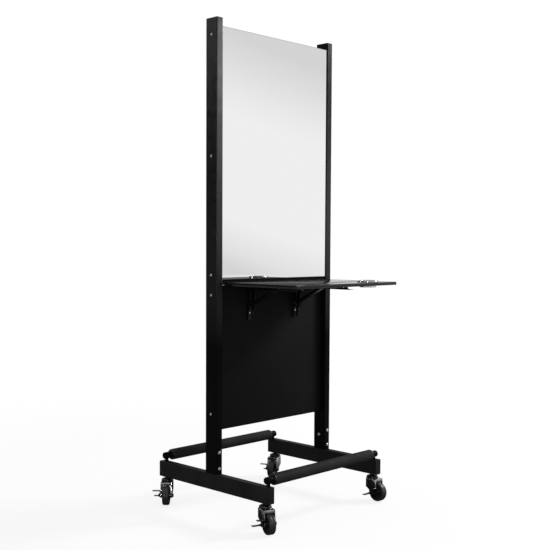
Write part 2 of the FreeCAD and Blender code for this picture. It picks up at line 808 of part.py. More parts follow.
def make_arm():
    """A bracket arm in the hinge's frame: it runs along -Y from the hinge axis, open below."""
    half = S.arm_width / 2
    inner = half - S.arm_wall
    front = -S.arm_length
    web = box("arm_web", (-half, half), (front, -S.shelf_setback), (S.arm_rise - S.arm_wall, S.arm_rise))
    parts = [web]
    for hand, sign in PAIR:
        x = sorted_pair(inner * sign, half * sign)
        parts.append(box(f"arm_side_{hand}", x, (front, -S.shelf_setback), (-S.arm_drop, S.arm_rise)))
        parts.append(box(f"arm_neck_{hand}", x, (-S.shelf_setback - PAST, 0), (-S.arm_ear, S.arm_ear)))
        parts.append(rod(f"arm_ear_{hand}", S.arm_ear, "X", x[0], x[1]))
        stub = sorted_pair((lever_inner - S.slide_pin_proud / 2) * sign, half * sign)
        parts.append(rod(f"lever_stub_{hand}", S.lever_pin_radius, "X", stub[0], stub[1],
                         y=-S.lever_pivot, z=-S.lever_drop))
    slot = S.slide_pin_radius + S.slot_play
    small = S.arm_screw_radius + S.running_fit
    tools = [
        rod("hinge_bore", S.pin_radius + S.running_fit, "X", -half - PAST, half + PAST),
        box("slot_run", (-half - PAST, half + PAST), (-slot_end, -slot_start), (-slot, slot)),
        rod("slot_back", slot, "X", -half - PAST, half + PAST, y=-slot_start),
        rod("slot_front", slot, "X", -half - PAST, half + PAST, y=-slot_end),
    ]
    for name, distance in (("back", S.arm_screw_back), ("front", S.arm_screw_front)):
        tools.append(rod(f"arm_hole_{name}", small, "Z", 0, S.arm_rise + PAST, y=-distance))
    return cut("arm", fuse("arm_blank", *parts), *tools)


def make_brace():
    """A brace in its pivot's frame: a channel along -Y, open above, between two round ends."""
    half = S.brace_width / 2
    inner = half - S.brace_wall
    deep = S.brace_half_depth
    run = (-S.brace_length, 0)
    outer = fuse("brace_outer", box("brace_block", (-half, half), run, (-deep, deep)),
                 rod("brace_back_end", deep, "X", -half, half),
                 rod("brace_front_end", deep, "X", -half, half, y=-S.brace_length))
    reach = S.brace_length + deep
    tools = [
        box("brace_hollow", (-inner, inner), (-reach - PAST, deep + PAST),
            (S.brace_wall - deep, deep + PAST)),
        rod("brace_pivot_bore", S.pin_radius + S.running_fit, "X", -half - PAST, half + PAST),
        rod("brace_slide_bore", S.slide_pin_radius + S.running_fit, "X", -half - PAST, half + PAST,
            y=-S.brace_length),
    ]
    return cut("brace", outer, *tools)


def make_lever():
    """A release lever in its pivot's frame: two strips with locking teeth and a thumb plate in front."""
    top = S.lever_drop - S.slide_pin_radius - S.lever_top_play
    bottom = top - S.lever_height
    front = -S.thumb_start - S.spring_width
    tooth_back = S.lever_pivot - slot_start - S.slide_pin_radius - S.lever_tooth_play
    tooth_front = tooth_back - S.lever_tooth_length
    parts = []
    for hand, sign in PAIR:
        x = sorted_pair(lever_inner * sign, lever_outer * sign)
        parts.append(plate(f"lever_strip_{hand}", [
            (front, bottom), (tooth_back, bottom), (tooth_back, top + S.lever_tooth),
            (tooth_front, top + S.lever_tooth), (tooth_front, top), (front, top),
        ], x))
        parts.append(rod(f"lever_eye_{hand}", S.lever_eye, "X", x[0], x[1]))
    parts.append(box("thumb_plate", (-lever_outer, lever_outer),
                     (-S.thumb_start - S.thumb_length, -S.thumb_start),
                     (bottom, bottom + S.thumb_thickness)))
    bore = rod("lever_bore", S.lever_pin_radius + S.running_fit, "X", -lever_outer - PAST,
               lever_outer + PAST)
    return cut("lever", fuse("lever_blank", *parts), bore)


def make_latch_spring():
    """A bent leaf in the hinge's frame: flat on the arm's web, then down to the lever's thumb plate."""
    web = S.arm_rise - S.arm_wall
    plate_top = S.thumb_thickness - S.slide_pin_radius - S.lever_top_play - S.lever_height
    bend = -S.arm_length + S.spring_top_length + S.spring_setback
    foot = -S.arm_length - S.spring_reach
    leaf = S.spring_thickness
    beside_screw = S.leg_head_radius + S.spring_setback
    slant = leaf * 2
    flat_end = bend - S.spring_top_length
    return plate("latch_spring", [
        (flat_end, web), (bend, web), (bend, web - leaf), (foot, plate_top),
        (foot - slant, plate_top), (bend - slant, web - leaf), (flat_end, web - leaf),
    ], (beside_screw, beside_screw + S.spring_width))


def make_shelf_board():
    """A shelf board in the hinge's frame, with the hole for its tool holder."""
    near = -S.shelf_setback
    board = bar("shelf_board", (-shelf_half, shelf_half), (near - S.shelf_depth, near),
                (S.arm_rise, shelf_top), S.shelf_corner)
    hole = rod("holder_hole", S.holder_radius + S.holder_fit, "Z", S.arm_rise - PAST, shelf_top + PAST,
               x=holder_x, y=-holder_y)
    small = S.arm_screw_radius + S.running_fit
    pilots = []
    for hand, sign in PAIR:
        for name, distance in (("back", S.arm_screw_back), ("front", S.arm_screw_front)):
            pilots.append(rod(f"pilot_{hand}_{name}", small, "Z", S.arm_rise - PAST,
                              S.arm_rise + S.arm_screw_grip + S.running_fit,
                              x=S.bracket_spacing / 2 * sign, y=-distance))
    return cut("shelf", board, hole, *pilots)


def make_tool_holder():
    """The open ring that drops into the shelf, hung by a domed flange, with z = 0 at the shelf's top."""
    bore = S.holder_radius - S.holder_wall
    tube_end = -S.shelf_thickness - S.holder_below
    height = S.holder_flange_height
    lip = S.holder_lip
    edge = height - lip
    return turned("holder", [
        (bore, tube_end), (S.holder_radius, tube_end), (S.holder_radius, 0), (S.holder_flange_radius, 0),
        (S.holder_flange_radius, edge - lip),
        (S.holder_flange_radius - lip * ARC_MIDDLE, edge - lip * ARC_MIDDLE),
        (S.holder_flange_radius - lip, edge), (S.holder_radius + lip, height), (S.holder_radius, height),
        (bore, edge),
    ])


def make_arm_screws():
    """The two screws of one arm, in the hinge's frame, with their heads under the web."""
    seat = S.arm_rise - S.arm_wall
    master = screw("arm_screw", S.arm_screw_radius, S.arm_screw_grip + S.arm_wall, S.leg_head_radius,
                   S.leg_head_height)
    return gather("arm_screw_pair", [
        copy("arm_screw_back", master, 0, -S.arm_screw_back, seat, TURNS["-Z"]),
        copy("arm_screw_front", master, 0, -S.arm_screw_front, seat, TURNS["-Z"]),
    ])


def both_hands(name, piece, y=0, z=0):
    """A piece and its twin at the two bracket places."""
    return gather(name, [copy(f"{name}_{hand}", piece, S.bracket_spacing / 2 * sign, y, z)
                         for hand, sign in PAIR])


def on_shelf_hinge(name, piece, side):
    """Put a piece that is built in the hinge's frame on its side: front open, rear folded down."""
    sign, turn = SIDES[side]
    turn = turn if side == "front" else turn.multiply(FOLDED)
    return node(name, place(piece, 0, hinge_y * sign, hinge_z, turn))


def on_brace_pivot(name, piece, side):
    """Put a piece that is built in the brace's frame on its side: front raised, rear hanging down."""
    sign, turn = SIDES[side]
    if side == "rear":
        place(piece, 0, hinge_y * sign, hinge_z - S.pivot_drop, turn.multiply(FOLDED))
    else:
        place(piece, 0, hinge_y * sign, hinge_z - S.pivot_drop, FreeCAD.Rotation(V(-1, 0, 0), 1))
        bind(piece, ".Placement.Rotation.Angle", slope_angle(S.pivot_drop, S.brace_length))
    return node(name, piece)


def make_shelves():
    """Both shelves with their arms, braces, levers and springs."""
    masters = {
        "shelf": make_shelf_board(),
        "bracket_arms": both_hands("arms", make_arm()),
        "arm_screws": both_hands("arm_screws", make_arm_screws()),
        "release_levers": both_hands("levers", make_lever(), -S.lever_pivot, -S.lever_drop),
        "latch_springs": both_hands("springs", make_latch_spring()),
    }
    ring = copy("ring_in_shelf", make_tool_holder(), holder_x, -holder_y, shelf_top)
    masters["tool_holder"] = gather("holder_in_shelf", [ring])
    braces = both_hands("braces", make_brace())
    reach = S.brace_width / 2 + S.slide_pin_proud
    slide_pin = rod("slide_pin", S.slide_pin_radius, "X", -reach, reach, y=-S.brace_length)
    slide_pins = both_hands("slide_pins", slide_pin)
    for side in SIDES:
        for name, master in masters.items():
            on_shelf_hinge(f"{side}_{name}", gather(f"{side}_{name}", [master]), side)
        on_brace_pivot(f"{side}_bracket_braces", gather(f"{side}_braces", [braces]), side)
        on_brace_pivot(f"{side}_brace_pins", gather(f"{side}_slide_pins", [slide_pins]), side)


# ---- Foot bars ------------------------------------------------------------------------------------

def make_footrest_brackets():
    """Posts on the feet with closed sockets for the ends of the foot bars."""
    length = S.socket_outer_reach + S.socket_inner_reach
    bore = S.bar_radius + S.bar_fit
    rim = S.socket_corner
    middle = rim * ARC_MIDDLE
    socket = turned("socket", [
        (0, length), (S.socket_radius - rim, length), (S.socket_radius - middle, length - middle),
        (S.socket_radius, length - rim), (S.socket_radius, 0), (bore, 0),
        (bore, length - S.socket_end_wall), (0, length - S.socket_end_wall),
    ])
    place(socket, socket_face, 0, footrest_z, TURNS["X"])
    post = rod("post", S.post_radius, "Z", foot_top, footrest_z - S.bar_radius - S.bar_fit * 2, x=post_x)
    spigot = rod("spigot", S.spigot_radius, "Z", foot_top - S.spigot_depth, foot_top + PAST, x=post_x)
    right = fuse("right_footrest_bracket", socket, post, spigot)
    left = mirrored("left_footrest_bracket", right)
    brackets = []
    for name, side in (("front", -1), ("rear", 1)):
        brackets.append(copy(f"{name}_right_bracket", right, 0, footrest_y * side))
        brackets.append(copy(f"{name}_left_bracket", left, 0, footrest_y * side))
    node("footrest_brackets", gather("footrest_brackets", brackets))


def make_foot_bars():
    """The tubes between the sockets, and the rollers with their bushes that turn on them."""
    tube = tube_along_x("bar_tube", S.bar_radius, S.bar_wall, bar_end)
    tubes = [copy(f"{name}_bar", tube, 0, footrest_y * side, footrest_z)
             for name, side in (("front", -1), ("rear", 1))]
    node("footrest_tubes", gather("footrest_tubes", tubes))
    roller = tube_along_x("roller_tube", S.roller_radius, S.roller_wall, roller_end)
    bore = S.bar_radius + S.bar_fit
    plug = S.roller_radius - S.roller_wall
    bush = turned("bush", [
        (bore, -S.bush_plug), (plug, -S.bush_plug), (plug, 0), (S.roller_radius, 0),
        (S.roller_radius, S.bush_flange), (S.bush_groove_outer, S.bush_flange),
        (S.bush_groove_outer, S.bush_flange - S.bush_groove_depth),
        (S.bush_groove_inner, S.bush_flange - S.bush_groove_depth),
        (S.bush_groove_inner, S.bush_flange), (bore, S.bush_flange),
    ])
    right = gather("right_bush", [copy("right_bush_copy", bush, roller_end, 0, 0, TURNS["X"])])
    bushes = gather("bush_pair", [right, mirrored("left_bush", right)])
    for name, side in (("front", -1), ("rear", 1)):
        at = (0, footrest_y * side, footrest_z)
        node(f"{name}_footrest_roller", place(gather(f"{name}_roller", [roller]), *at))
        node(f"{name}_roller_bushes", place(gather(f"{name}_bushes", [bushes]), *at))


def tube_along_x(name, radius, wall, half):
    """A round tube along X, centred on the origin."""
    return cut(name, rod(name + "_outer", radius, "X", -half, half),
               rod(name + "_inner", radius - wall, "X", -half - PAST, half + PAST))


# ---- Casters --------------------------------------------------------------------------------------

def make_caster_stems():
    """Threaded stems with a collar, an upper race on the fork's crown and a riveted race below it."""
    stud = rod("stud", S.stud_radius, "Z", crown_top - S.crown_wall - PAST, S.caster_height + S.stud_length)
    collar = hexagon("collar", S.collar_radius, dome_top, S.caster_height)
    race = rod("upper_race", S.race_radius, "Z", crown_top, crown_top + S.race_height)
    under = crown_top - S.crown_wall - S.race_play
    lower = rod("lower_race", S.race_radius, "Z", under - S.race_height, under)
    rivet = rod("rivet_head", S.rivet_radius, "Z", under - S.race_height - S.rivet_height,
                under - S.race_height + PAST)
    stem = fuse("caster_stem", stud, collar, race, lower, rivet)
    node("caster_stems", gather("caster_stems", caster_copies("stem", stem)))


def caster_copies(name, piece):
    """Four copies of a piece that is built on the stem's axis."""
    return [copy(f"{corner}_{name}", piece, *caster_place(corner)) for corner in CASTER_YAW]


def caster_place(corner):
    """The x and y of a caster's stem."""
    y_sign = -1 if corner.startswith("front") else 1
    x_sign = -1 if corner.endswith("left") else 1
    return tube_x * x_sign, caster_y * y_sign


def make_dome_covers():
    """Domed dust covers over the swivel races."""
    bore = S.stud_radius + S.running_fit
    low = crown_top + S.dome_play
    wall = S.dome_wall
    bend = S.dome_radius - S.dome_shoulder
    side = dome_top - S.dome_shoulder
    middle = S.dome_shoulder * ARC_MIDDLE
    cover = turned("dome_cover", [
        (S.dome_radius - wall, low), (S.dome_radius, low), (S.dome_radius, side),
        (S.dome_radius - middle, dome_top - middle), (bend, dome_top), (bore, dome_top),
        (bore, dome_top - wall), (bend, dome_top - wall),
        (S.dome_radius - wall - middle, dome_top - wall - middle), (S.dome_radius - wall, side),
    ])
    node("caster_dome_covers", gather("caster_dome_covers", caster_copies("dome", cover)))


def make_fork():
    """A fork on the stem's axis: a roof with a round crown, and two legs that trail to the axle along -Y."""
    radius = S.crown_radius
    skirt = radius - S.crown_wall
    plate_low = crown_top - S.crown_wall
    rim = S.crown_wall / 2
    crown = turned("crown", [
        (0, plate_low), (skirt, plate_low), (skirt, crown_top - S.crown_height),
        (radius, crown_top - S.crown_height), (radius, crown_top - rim), (radius - rim, crown_top),
        (0, crown_top),
    ])
    width = (-fork_outer, fork_outer)
    roof = box("fork_roof", width, (-S.fork_back, S.fork_front), (plate_low, crown_top))
    lip = box("fork_lip", width, (-S.fork_back, S.crown_wall - S.fork_back),
              (crown_top - S.fork_lip, crown_top))
    eye = S.fork_eye
    axle = (-S.trail, S.wheel_radius)
    outline = [
        (-S.fork_back, crown_top), (S.fork_front, crown_top),
        (S.fork_front, crown_top - S.crown_height - S.fork_straight),
        on_circle(axle, eye, -30), on_circle(axle, eye, -75), on_circle(axle, eye, 200),
        on_circle(axle, eye, 160),
    ]
    parts = [crown, roof, lip]
    for hand, sign in PAIR:
        x = sorted_pair(S.fork_inner_width / 2 * sign, fork_outer * sign)
        parts.append(plate(f"fork_leg_{hand}", outline, x))
        parts.append(rod(f"fork_eye_{hand}", eye, "X", x[0], x[1], y=-S.trail, z=S.wheel_radius))
    bore = rod("fork_bore", S.axle_radius + S.running_fit, "X", -fork_outer - PAST, fork_outer + PAST,
               y=-S.trail, z=S.wheel_radius)
    stem_hole = rod("fork_stem_hole", S.stud_radius + S.running_fit, "Z", plate_low - PAST,
                    crown_top + PAST)
    return cut("fork", fuse("fork_blank", *parts), fuse("fork_holes", bore, stem_hole))


def make_axle():
    """An axle bolt with its head on one side, and the nut that holds the brake on the other side."""
    at = {"y": -S.trail, "z": S.wheel_radius}
    nut_seat = fork_outer + S.brake_play * 2 + S.brake_plate
    end = nut_seat + S.nut_height
    head = rod("axle_head", S.nut_radius, "X", fork_outer, fork_outer + S.nut_height, **at)
    bolt = fuse("axle_bolt", rod("axle_shank", S.axle_radius, "X", -end, fork_outer + PAST, **at), head)
    nut = hexagon("nut_blank", S.nut_radius, -end, -nut_seat, "X")
    place(nut, -end, -S.trail, S.wheel_radius, TURNS["X"])
    hole = rod("nut_bore", S.axle_radius + S.running_fit, "X", -end - PAST, PAST - nut_seat, **at)
    return gather("axle", [bolt, cut("nut", nut, hole)])


def make_hub():
    """A wheel hub on the axle: boss, web and rim."""
    bore = S.axle_radius + S.running_fit
    boss = S.fork_inner_width / 2 - S.hub_play
    web = S.web_thickness / 2
    rim = S.rim_width / 2
    inner_rim = S.rim_radius - S.rim_wall
    hub = turned("hub", [
        (bore, -boss), (S.hub_radius, -boss), (S.hub_radius, -web), (inner_rim, -web), (inner_rim, -rim),
        (S.rim_radius, -rim), (S.rim_radius, rim), (inner_rim, rim), (inner_rim, web), (S.hub_radius, web),
        (S.hub_radius, boss), (bore, boss),
    ])
    return gather("hub_on_axle", [place(hub, 0, -S.trail, S.wheel_radius, TURNS["X"])])


def make_tyre():
    """The tread moulded round the rim, with round shoulders."""
    half = S.tyre_width / 2
    shoulder = S.tyre_shoulder
    outer = S.wheel_radius
    middle = shoulder * ARC_MIDDLE
    tyre = turned("tread", [
        (S.rim_radius, -half), (outer - shoulder, -half), (outer - middle, middle - half),
        (outer, shoulder - half), (outer, half - shoulder), (outer - middle, half - middle),
        (outer - shoulder, half), (S.rim_radius, half),
    ])
    return gather("tread_on_axle", [place(tyre, 0, -S.trail, S.wheel_radius, TURNS["X"])])


def make_brake():
    """A rocker beside the fork with one tab to press on and one to press off."""
    inner = -fork_outer - S.brake_play
    outer = inner - S.brake_plate
    eye = S.brake_eye
    half_tab = S.brake_tab_width / 2
    slab = S.brake_tab_thickness
    upper = (-S.trail - S.upper_tab_back, S.wheel_radius + S.upper_tab_rise)
    lower = (S.lower_tab_front - S.trail, S.wheel_radius - S.lower_tab_drop)
    axle = (-S.trail, S.wheel_radius)
    upper_arm = plate("brake_upper_arm", [
        (upper[0] - half_tab, upper[1]), on_circle(axle, eye, 198), on_circle(axle, eye, 18),
        (upper[0] + half_tab, upper[1]),
    ], (outer, inner))
    lower_arm = plate("brake_lower_arm", [
        (lower[0] + half_tab, lower[1] - slab), (lower[0] + half_tab, lower[1]),
        on_circle(axle, eye, 90), on_circle(axle, eye, -90), (lower[0] - half_tab, lower[1] - slab),
    ], (outer, inner))
    tabs = [box("brake_upper_tab", (-S.brake_reach, inner), (upper[0] - half_tab, upper[0] + half_tab),
                (upper[1] - slab, upper[1])),
            box("brake_lower_tab", (-S.brake_reach, inner), (lower[0] - half_tab, lower[0] + half_tab),
                (lower[1] - slab, lower[1]))]
    ring = rod("brake_ring", eye, "X", outer, inner, y=-S.trail, z=S.wheel_radius)
    bore = rod("brake_bore", S.axle_radius + S.running_fit, "X", outer - PAST, inner + PAST,
               y=-S.trail, z=S.wheel_radius)
    return cut("brake", fuse("brake_blank", ring, upper_arm, lower_arm, *tabs), bore)


def make_casters():
    """The swivelling part of each caster, turned the way it stands."""
    masters = {
        "caster_fork": make_fork(),
        "caster_axle": make_axle(),
        "wheel_hub": make_hub(),
        "tyre": make_tyre(),
        "brake_lever": make_brake(),
    }
    for corner, yaw in CASTER_YAW.items():
        x, y = caster_place(corner)
        for name, master in masters.items():
            label = f"{corner}_{name}"
            node(label, place(gather(label, [master]), x, y, 0, FreeCAD.Rotation(UP, yaw)))


# ---- Build, check and write -----------------------------------------------------------------------

def build():
    """Make every sub-part in the document."""
    make_uprights()
    make_feet()
    make_stubs()
    make_joint_bolts()
    make_end_caps()
    make_mirror_core()
    make_boards_and_mirrors()
    make_side_screws()
    make_lower_panel()
    make_bracket_legs()
    make_bracket_leg_screws()
    make_bracket_pins()
    make_shelves()
    make_footrest_brackets()
    make_foot_bars()
    make_caster_stems()
    make_dome_covers()
    make_casters()
    doc.recompute()


def check():
    """Stop before anything is written if an object failed or a sub-part has no sound shape."""
    for thing in doc.Objects:
        if "Invalid" in thing.State or "Error" in thing.State:
            raise RuntimeError(f"{thing.Label} failed: {thing.State}")
    for part in NODES:
        if part.Shape.isNull() or not part.Shape.isValid() or not part.Shape.Solids:
            raise RuntimeError(f"{part.Label} has no sound shape")


def write():
    """Write one STEP file for each sub-part."""
    os.makedirs("parts", exist_ok=True)
    for part in NODES:
        part.Shape.exportStep(os.path.join("parts", part.Label + ".step"))


build()
check()
write()
for part in NODES:
    print(f"{part.Label}: {len(part.Shape.Solids)} solids, {part.Shape.Volume / 1000:.1f} cm3")
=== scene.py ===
"""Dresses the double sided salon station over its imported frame, with its stage and camera.

Metres, in the frame's own axes: +Z up, the front side towards -Y, X across the station.
"""

import math

import bmesh
import bpy
from bpy.props import FloatProperty, FloatVectorProperty, IntProperty, PointerProperty
from mathutils import Matrix, Vector


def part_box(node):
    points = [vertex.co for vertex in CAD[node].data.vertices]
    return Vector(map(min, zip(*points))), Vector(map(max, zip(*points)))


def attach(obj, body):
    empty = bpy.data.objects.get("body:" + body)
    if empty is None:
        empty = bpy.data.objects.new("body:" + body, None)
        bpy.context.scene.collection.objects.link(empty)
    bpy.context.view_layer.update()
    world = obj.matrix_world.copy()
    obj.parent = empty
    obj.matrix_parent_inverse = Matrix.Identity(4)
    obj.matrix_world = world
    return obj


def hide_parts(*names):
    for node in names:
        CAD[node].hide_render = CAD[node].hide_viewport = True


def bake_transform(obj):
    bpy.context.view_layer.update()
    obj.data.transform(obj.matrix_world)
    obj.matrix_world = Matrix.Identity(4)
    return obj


bl_info = {
    "name": "Salon station",
    "version": (1, 0, 0),
    "blender": (4, 5, 0),
    "location": "View3D > Sidebar > Salon station",
    "description": "Models and finishes a double sided salon station on wheels",
    "category": "Object",
}

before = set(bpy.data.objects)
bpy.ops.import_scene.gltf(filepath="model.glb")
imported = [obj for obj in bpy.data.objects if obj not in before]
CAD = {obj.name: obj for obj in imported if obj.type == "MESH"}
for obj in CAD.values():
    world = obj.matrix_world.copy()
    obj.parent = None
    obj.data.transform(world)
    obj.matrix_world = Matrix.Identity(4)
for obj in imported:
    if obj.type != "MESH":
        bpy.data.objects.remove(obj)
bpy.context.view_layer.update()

SIDES = ("front", "rear")
# Each caster's stem on the floor plan, and the way its fork trails from straight to the front
CASTERS = {
    "front_left": (-0.305, -0.270, -20),
    "front_right": (0.305, -0.270, -3),
    "rear_left": (-0.305, 0.270, -48),
    "rear_right": (0.305, 0.270, -67),
}
ALONG_X = Matrix.Rotation(math.radians(90), 4, "Y")
ALONG_Y = Matrix.Rotation(math.radians(-90), 4, "X")
WHITE = (1, 1, 1, 1)
FLOOR_TONE = 0.64

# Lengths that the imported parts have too
HOLDER_HOLE = 0.0325
HOLDER_FLANGE = 0.006
CAP_FLANGE = 0.0025
CAP_CORNER = 0.003
CAP_PLUG = 0.009
STEM_TO_AXLE = 0.030
AXLE_HEIGHT = 0.0375
SLEEVE_INNER = 0.0185

# Lengths of the fine shapes alone
SLEEVE_OUTER = 0.0210
CAP_PLUG_INSET = 0.0017
SPRING_ROOT_DEPTH = 0.0008
LEAF_EDGE = 0.0001
BRAKE_EDGE = 0.0004
SOCKET_EDGE = 0.0006
AXLE_EDGE = 0.0009

# Vertices closer than this are one
WELD = 1e-5


# ---- Settings that a user would change ---------------------------------------------------------

def size(name, description, default):
    """A length in metres."""
    return FloatProperty(name=name, description=description, default=default, min=0, precision=4,
                         unit="LENGTH")


def share(name, description, default):
    """A value from 0 to 1."""
    return FloatProperty(name=name, description=description, default=default, min=0, max=1,
                         subtype="FACTOR")


def tint(name, description, default):
    """A colour, linear."""
    return FloatVectorProperty(name=name, description=description, default=default, size=3, min=0,
                               max=1, subtype="COLOR")


class StationShapes(bpy.types.PropertyGroup):
    """Sizes of the rounded edges and small forms."""
    board_edge: size("Board edge", "Rounding along the edges of the boards", 0.0008)
    board_corner: size("Board corner", "Rounding of a shelf's four corners", 0.008)
    glass_arris: size("Glass arris", "Width of the ground edge round each mirror", 0.0012)
    cap_edge: size("Cap edge", "Rounding of the end caps", 0.0012)
    pressed_edge: size("Pressed edge", "Rounding along the edges of the pressed steel parts",
                       0.0005)
    fork_edge: size("Fork edge", "Rounding along the edges of the caster forks", 0.0008)
    socket_depth: size("Socket depth", "Depth of the hexagon socket in a screw head", 0.0012)
    round_steps: IntProperty(name="Round steps", description="Faces round a spun piece", default=72,
                             min=12, max=256)


class StationFinishes(bpy.types.PropertyGroup):
    """Colours and gloss of the finishes."""
    coat: tint("Powder coat", "Colour of the coated steel tube", (0.0030, 0.0030, 0.0031))
    coat_rough: share("Powder coat roughness", "0 is a mirror, 1 is chalk", 0.31)
    board: tint("Board", "Colour of the black boards", (0.0058, 0.0058, 0.0060))
    board_rough: share("Board roughness", "0 is a mirror, 1 is chalk", 0.68)
    mirror: tint("Mirror", "Colour of the silvering", (0.93, 0.935, 0.93))
    chrome: tint("Chrome", "Colour of the plated parts", (0.56, 0.565, 0.575))
    zinc: tint("Zinc", "Colour of the screws", (0.62, 0.63, 0.65))
    plastic: tint("Plastic", "Colour of the moulded parts", (0.0050, 0.0050, 0.0053))
    hub: tint("Wheel hub", "Colour of the wheel hubs", (0.010, 0.0105, 0.012))
    tread: tint("Tread", "Colour of the tyres", (0.016, 0.0175, 0.0195))
    wood: tint("Wood", "Colour of the frame between the mirrors", (0.33, 0.21, 0.11))


class StationStage(bpy.types.PropertyGroup):
    """Camera, floor and lamps."""
    camera_place: FloatVectorProperty(name="Camera", description="Where the camera stands",
                                      size=3, default=(-2.6452, -2.5675, 1.0181), subtype="XYZ",
                                      unit="LENGTH")
    camera_turn: FloatProperty(name="Turn", default=math.radians(46.063), subtype="ANGLE",
                               description="From straight at the front to its right side")
    camera_dip: FloatProperty(name="Dip", description="How far the camera looks down",
                              default=math.radians(2.877), subtype="ANGLE")
    camera_roll: FloatProperty(name="Roll", description="How far the camera leans",
                               default=math.radians(0.285), subtype="ANGLE")
    lens: FloatProperty(name="Lens", description="Focal length in millimetres on a 36 mm sensor",
                        default=61.48, min=10, max=300)
    camera_rise: FloatProperty(name="Rise", default=0.0302, min=-0.5, max=0.5,
                               description="Shift of the picture upwards, in picture widths")
    floor: size("Floor", "Width of the floor", 40.0)
    key_power: FloatProperty(name="Key lamp", description="Power of the lamp to the front right",
                             default=150.0, min=0, unit="POWER")
    fill_power: FloatProperty(name="Fill lamp", description="Power of the lamp to the left",
                              default=12.0, min=0, unit="POWER")
    glint_power: FloatProperty(name="Glint lamp", default=24.0, min=0, unit="POWER",
                               description="Power of the small lamp at the camera")
    world_level: share("Room light", "Even light from all round", 0.50)


# ---- Selecting and finishing a mesh ------------------------------------------------------------

def fresh():
    """Leave edit mode with nothing selected, so that a new primitive stands alone."""
    if bpy.context.object and bpy.context.object.mode != "OBJECT":
        bpy.ops.object.mode_set(mode="OBJECT")
    bpy.ops.object.select_all(action="DESELECT")


def take(obj):
    """Select one object alone and make it the active one."""
    fresh()
    obj.select_set(True)
    bpy.context.view_layer.objects.active = obj
    return obj


def named(name):
    """Name the object that an operator has just added."""
    obj = bpy.context.object
    obj.name = obj.data.name = name
    return obj


def settle(obj, place=None):
    """Put a piece in its place and write the place into its mesh."""
    take(obj)
    if place is not None:
        obj.matrix_world = place @ obj.matrix_world
    bpy.ops.object.transform_apply(location=True, rotation=True, scale=True)
    return obj


def pick(obj, kind, test):
    """Edit a piece with only the faces or edges that pass a test selected."""
    take(obj)
    mesh = obj.data
    for group in (mesh.vertices, mesh.edges, mesh.polygons):
        for element in group:
            element.select = False
    if kind == "FACE":
        for face in mesh.polygons:
            face.select = test(face.center, face.normal)
    elif kind == "EDGE":
        for edge in mesh.edges:
            start, end = (mesh.vertices[i].co for i in edge.vertices)
            edge.select = test(start, end)
    bpy.context.tool_settings.mesh_select_mode = (False, kind == "EDGE", kind == "FACE")
    bpy.ops.object.mode_set(mode="EDIT")


def block(name, low, high):
    """A box between two corners, to be shaped further."""
    fresh()
    low, high = Vector(low), Vector(high)
    bpy.ops.mesh.primitive_cube_add(size=1, location=(low + high) / 2, scale=high - low)
    return settle(named(name))


def spun(name, profile, steps, place=None):
    """A round piece: a profile of (radius, height) spun about Z and put in place."""
    fresh()
    bpy.ops.mesh.primitive_plane_add(size=0.001)
    obj = named(name)
    bpy.context.tool_settings.mesh_select_mode = (True, False, False)
    bpy.ops.object.mode_set(mode="EDIT")
    bpy.ops.mesh.select_all(action="SELECT")
    bpy.ops.mesh.merge(type="CENTER")
    here = Vector((profile[0][0], 0, profile[0][1]))
    bpy.ops.transform.translate(value=here)
    for radius, height in profile[1:]:
        there = Vector((radius, 0, height))
        bpy.ops.mesh.extrude_vertices_move(TRANSFORM_OT_translate={"value": there - here})
        here = there
    bpy.ops.mesh.select_all(action="SELECT")
    bpy.ops.mesh.spin(steps=steps, angle=math.tau, center=(0, 0, 0), axis=(0, 0, 1))
    bpy.ops.mesh.select_all(action="SELECT")
    bpy.ops.mesh.remove_doubles(threshold=1e-6)
    bpy.ops.mesh.normals_make_consistent(inside=False)
    bpy.ops.object.mode_set(mode="OBJECT")
    return settle(obj, place)


def apply_modifier(obj, kind, **values):
    """Add a modifier with its values and apply it."""
    take(obj)
    modifier = obj.modifiers.new(kind.title(), kind)
    for key, value in values.items():
        setattr(modifier, key, value)
    bpy.ops.object.modifier_apply(modifier=modifier.name)
    return obj


def soften(obj, width, segments=2, angle=35):
    """Round over the sharp edges and shade the piece smooth between them."""
    apply_modifier(obj, "BEVEL", width=width, segments=segments, limit_method="ANGLE",
                   angle_limit=math.radians(angle), miter_outer="MITER_ARC")
    return smooth(obj, angle)


def smooth(obj, angle=35):
    """Shade smooth, but keep the edges that are sharper than the angle."""
    take(obj)
    bpy.ops.object.shade_smooth_by_angle(angle=math.radians(angle))
    return obj


def cut_away(obj, cutter):
    """Cut one solid out of another, and drop the cutter."""
    apply_modifier(obj, "BOOLEAN", operation="DIFFERENCE", solver="EXACT", object=cutter)
    bpy.data.objects.remove(cutter)
    return obj


def joined(name, pieces):
    """Several pieces as one object."""
    take(pieces[0])
    for piece in pieces[1:]:
        piece.select_set(True)
    if len(pieces) > 1:
        bpy.ops.object.join()
    return named(name)


def copies(name, master, places):
    """One object made of copies of a master, one at each place. The master is used up."""
    made = []
    for place in places:
        piece = master.copy()
        piece.data = master.data.copy()
        piece.data.transform(place)
        bpy.context.scene.collection.objects.link(piece)
        made.append(piece)
    bpy.data.objects.remove(master)
    bpy.context.view_layer.update()
    return joined(name, made)


def softened_node(node, name, width, segments=2):
    """A frame node's shape with its edges rounded over."""
    obj = CAD[node].copy()
    obj.data = CAD[node].data.copy()
    obj.parent = None
    for key in list(obj.keys()):
        del obj[key]
    bpy.context.scene.collection.objects.link(obj)
    take(obj)
    named(name)
    bpy.ops.object.mode_set(mode="EDIT")
    bpy.ops.mesh.select_all(action="SELECT")
    bpy.ops.mesh.remove_doubles(threshold=WELD)
    bpy.ops.mesh.dissolve_limited(angle_limit=math.radians(0.6))
    bpy.ops.object.mode_set(mode="OBJECT")
    return soften(obj, width, segments)


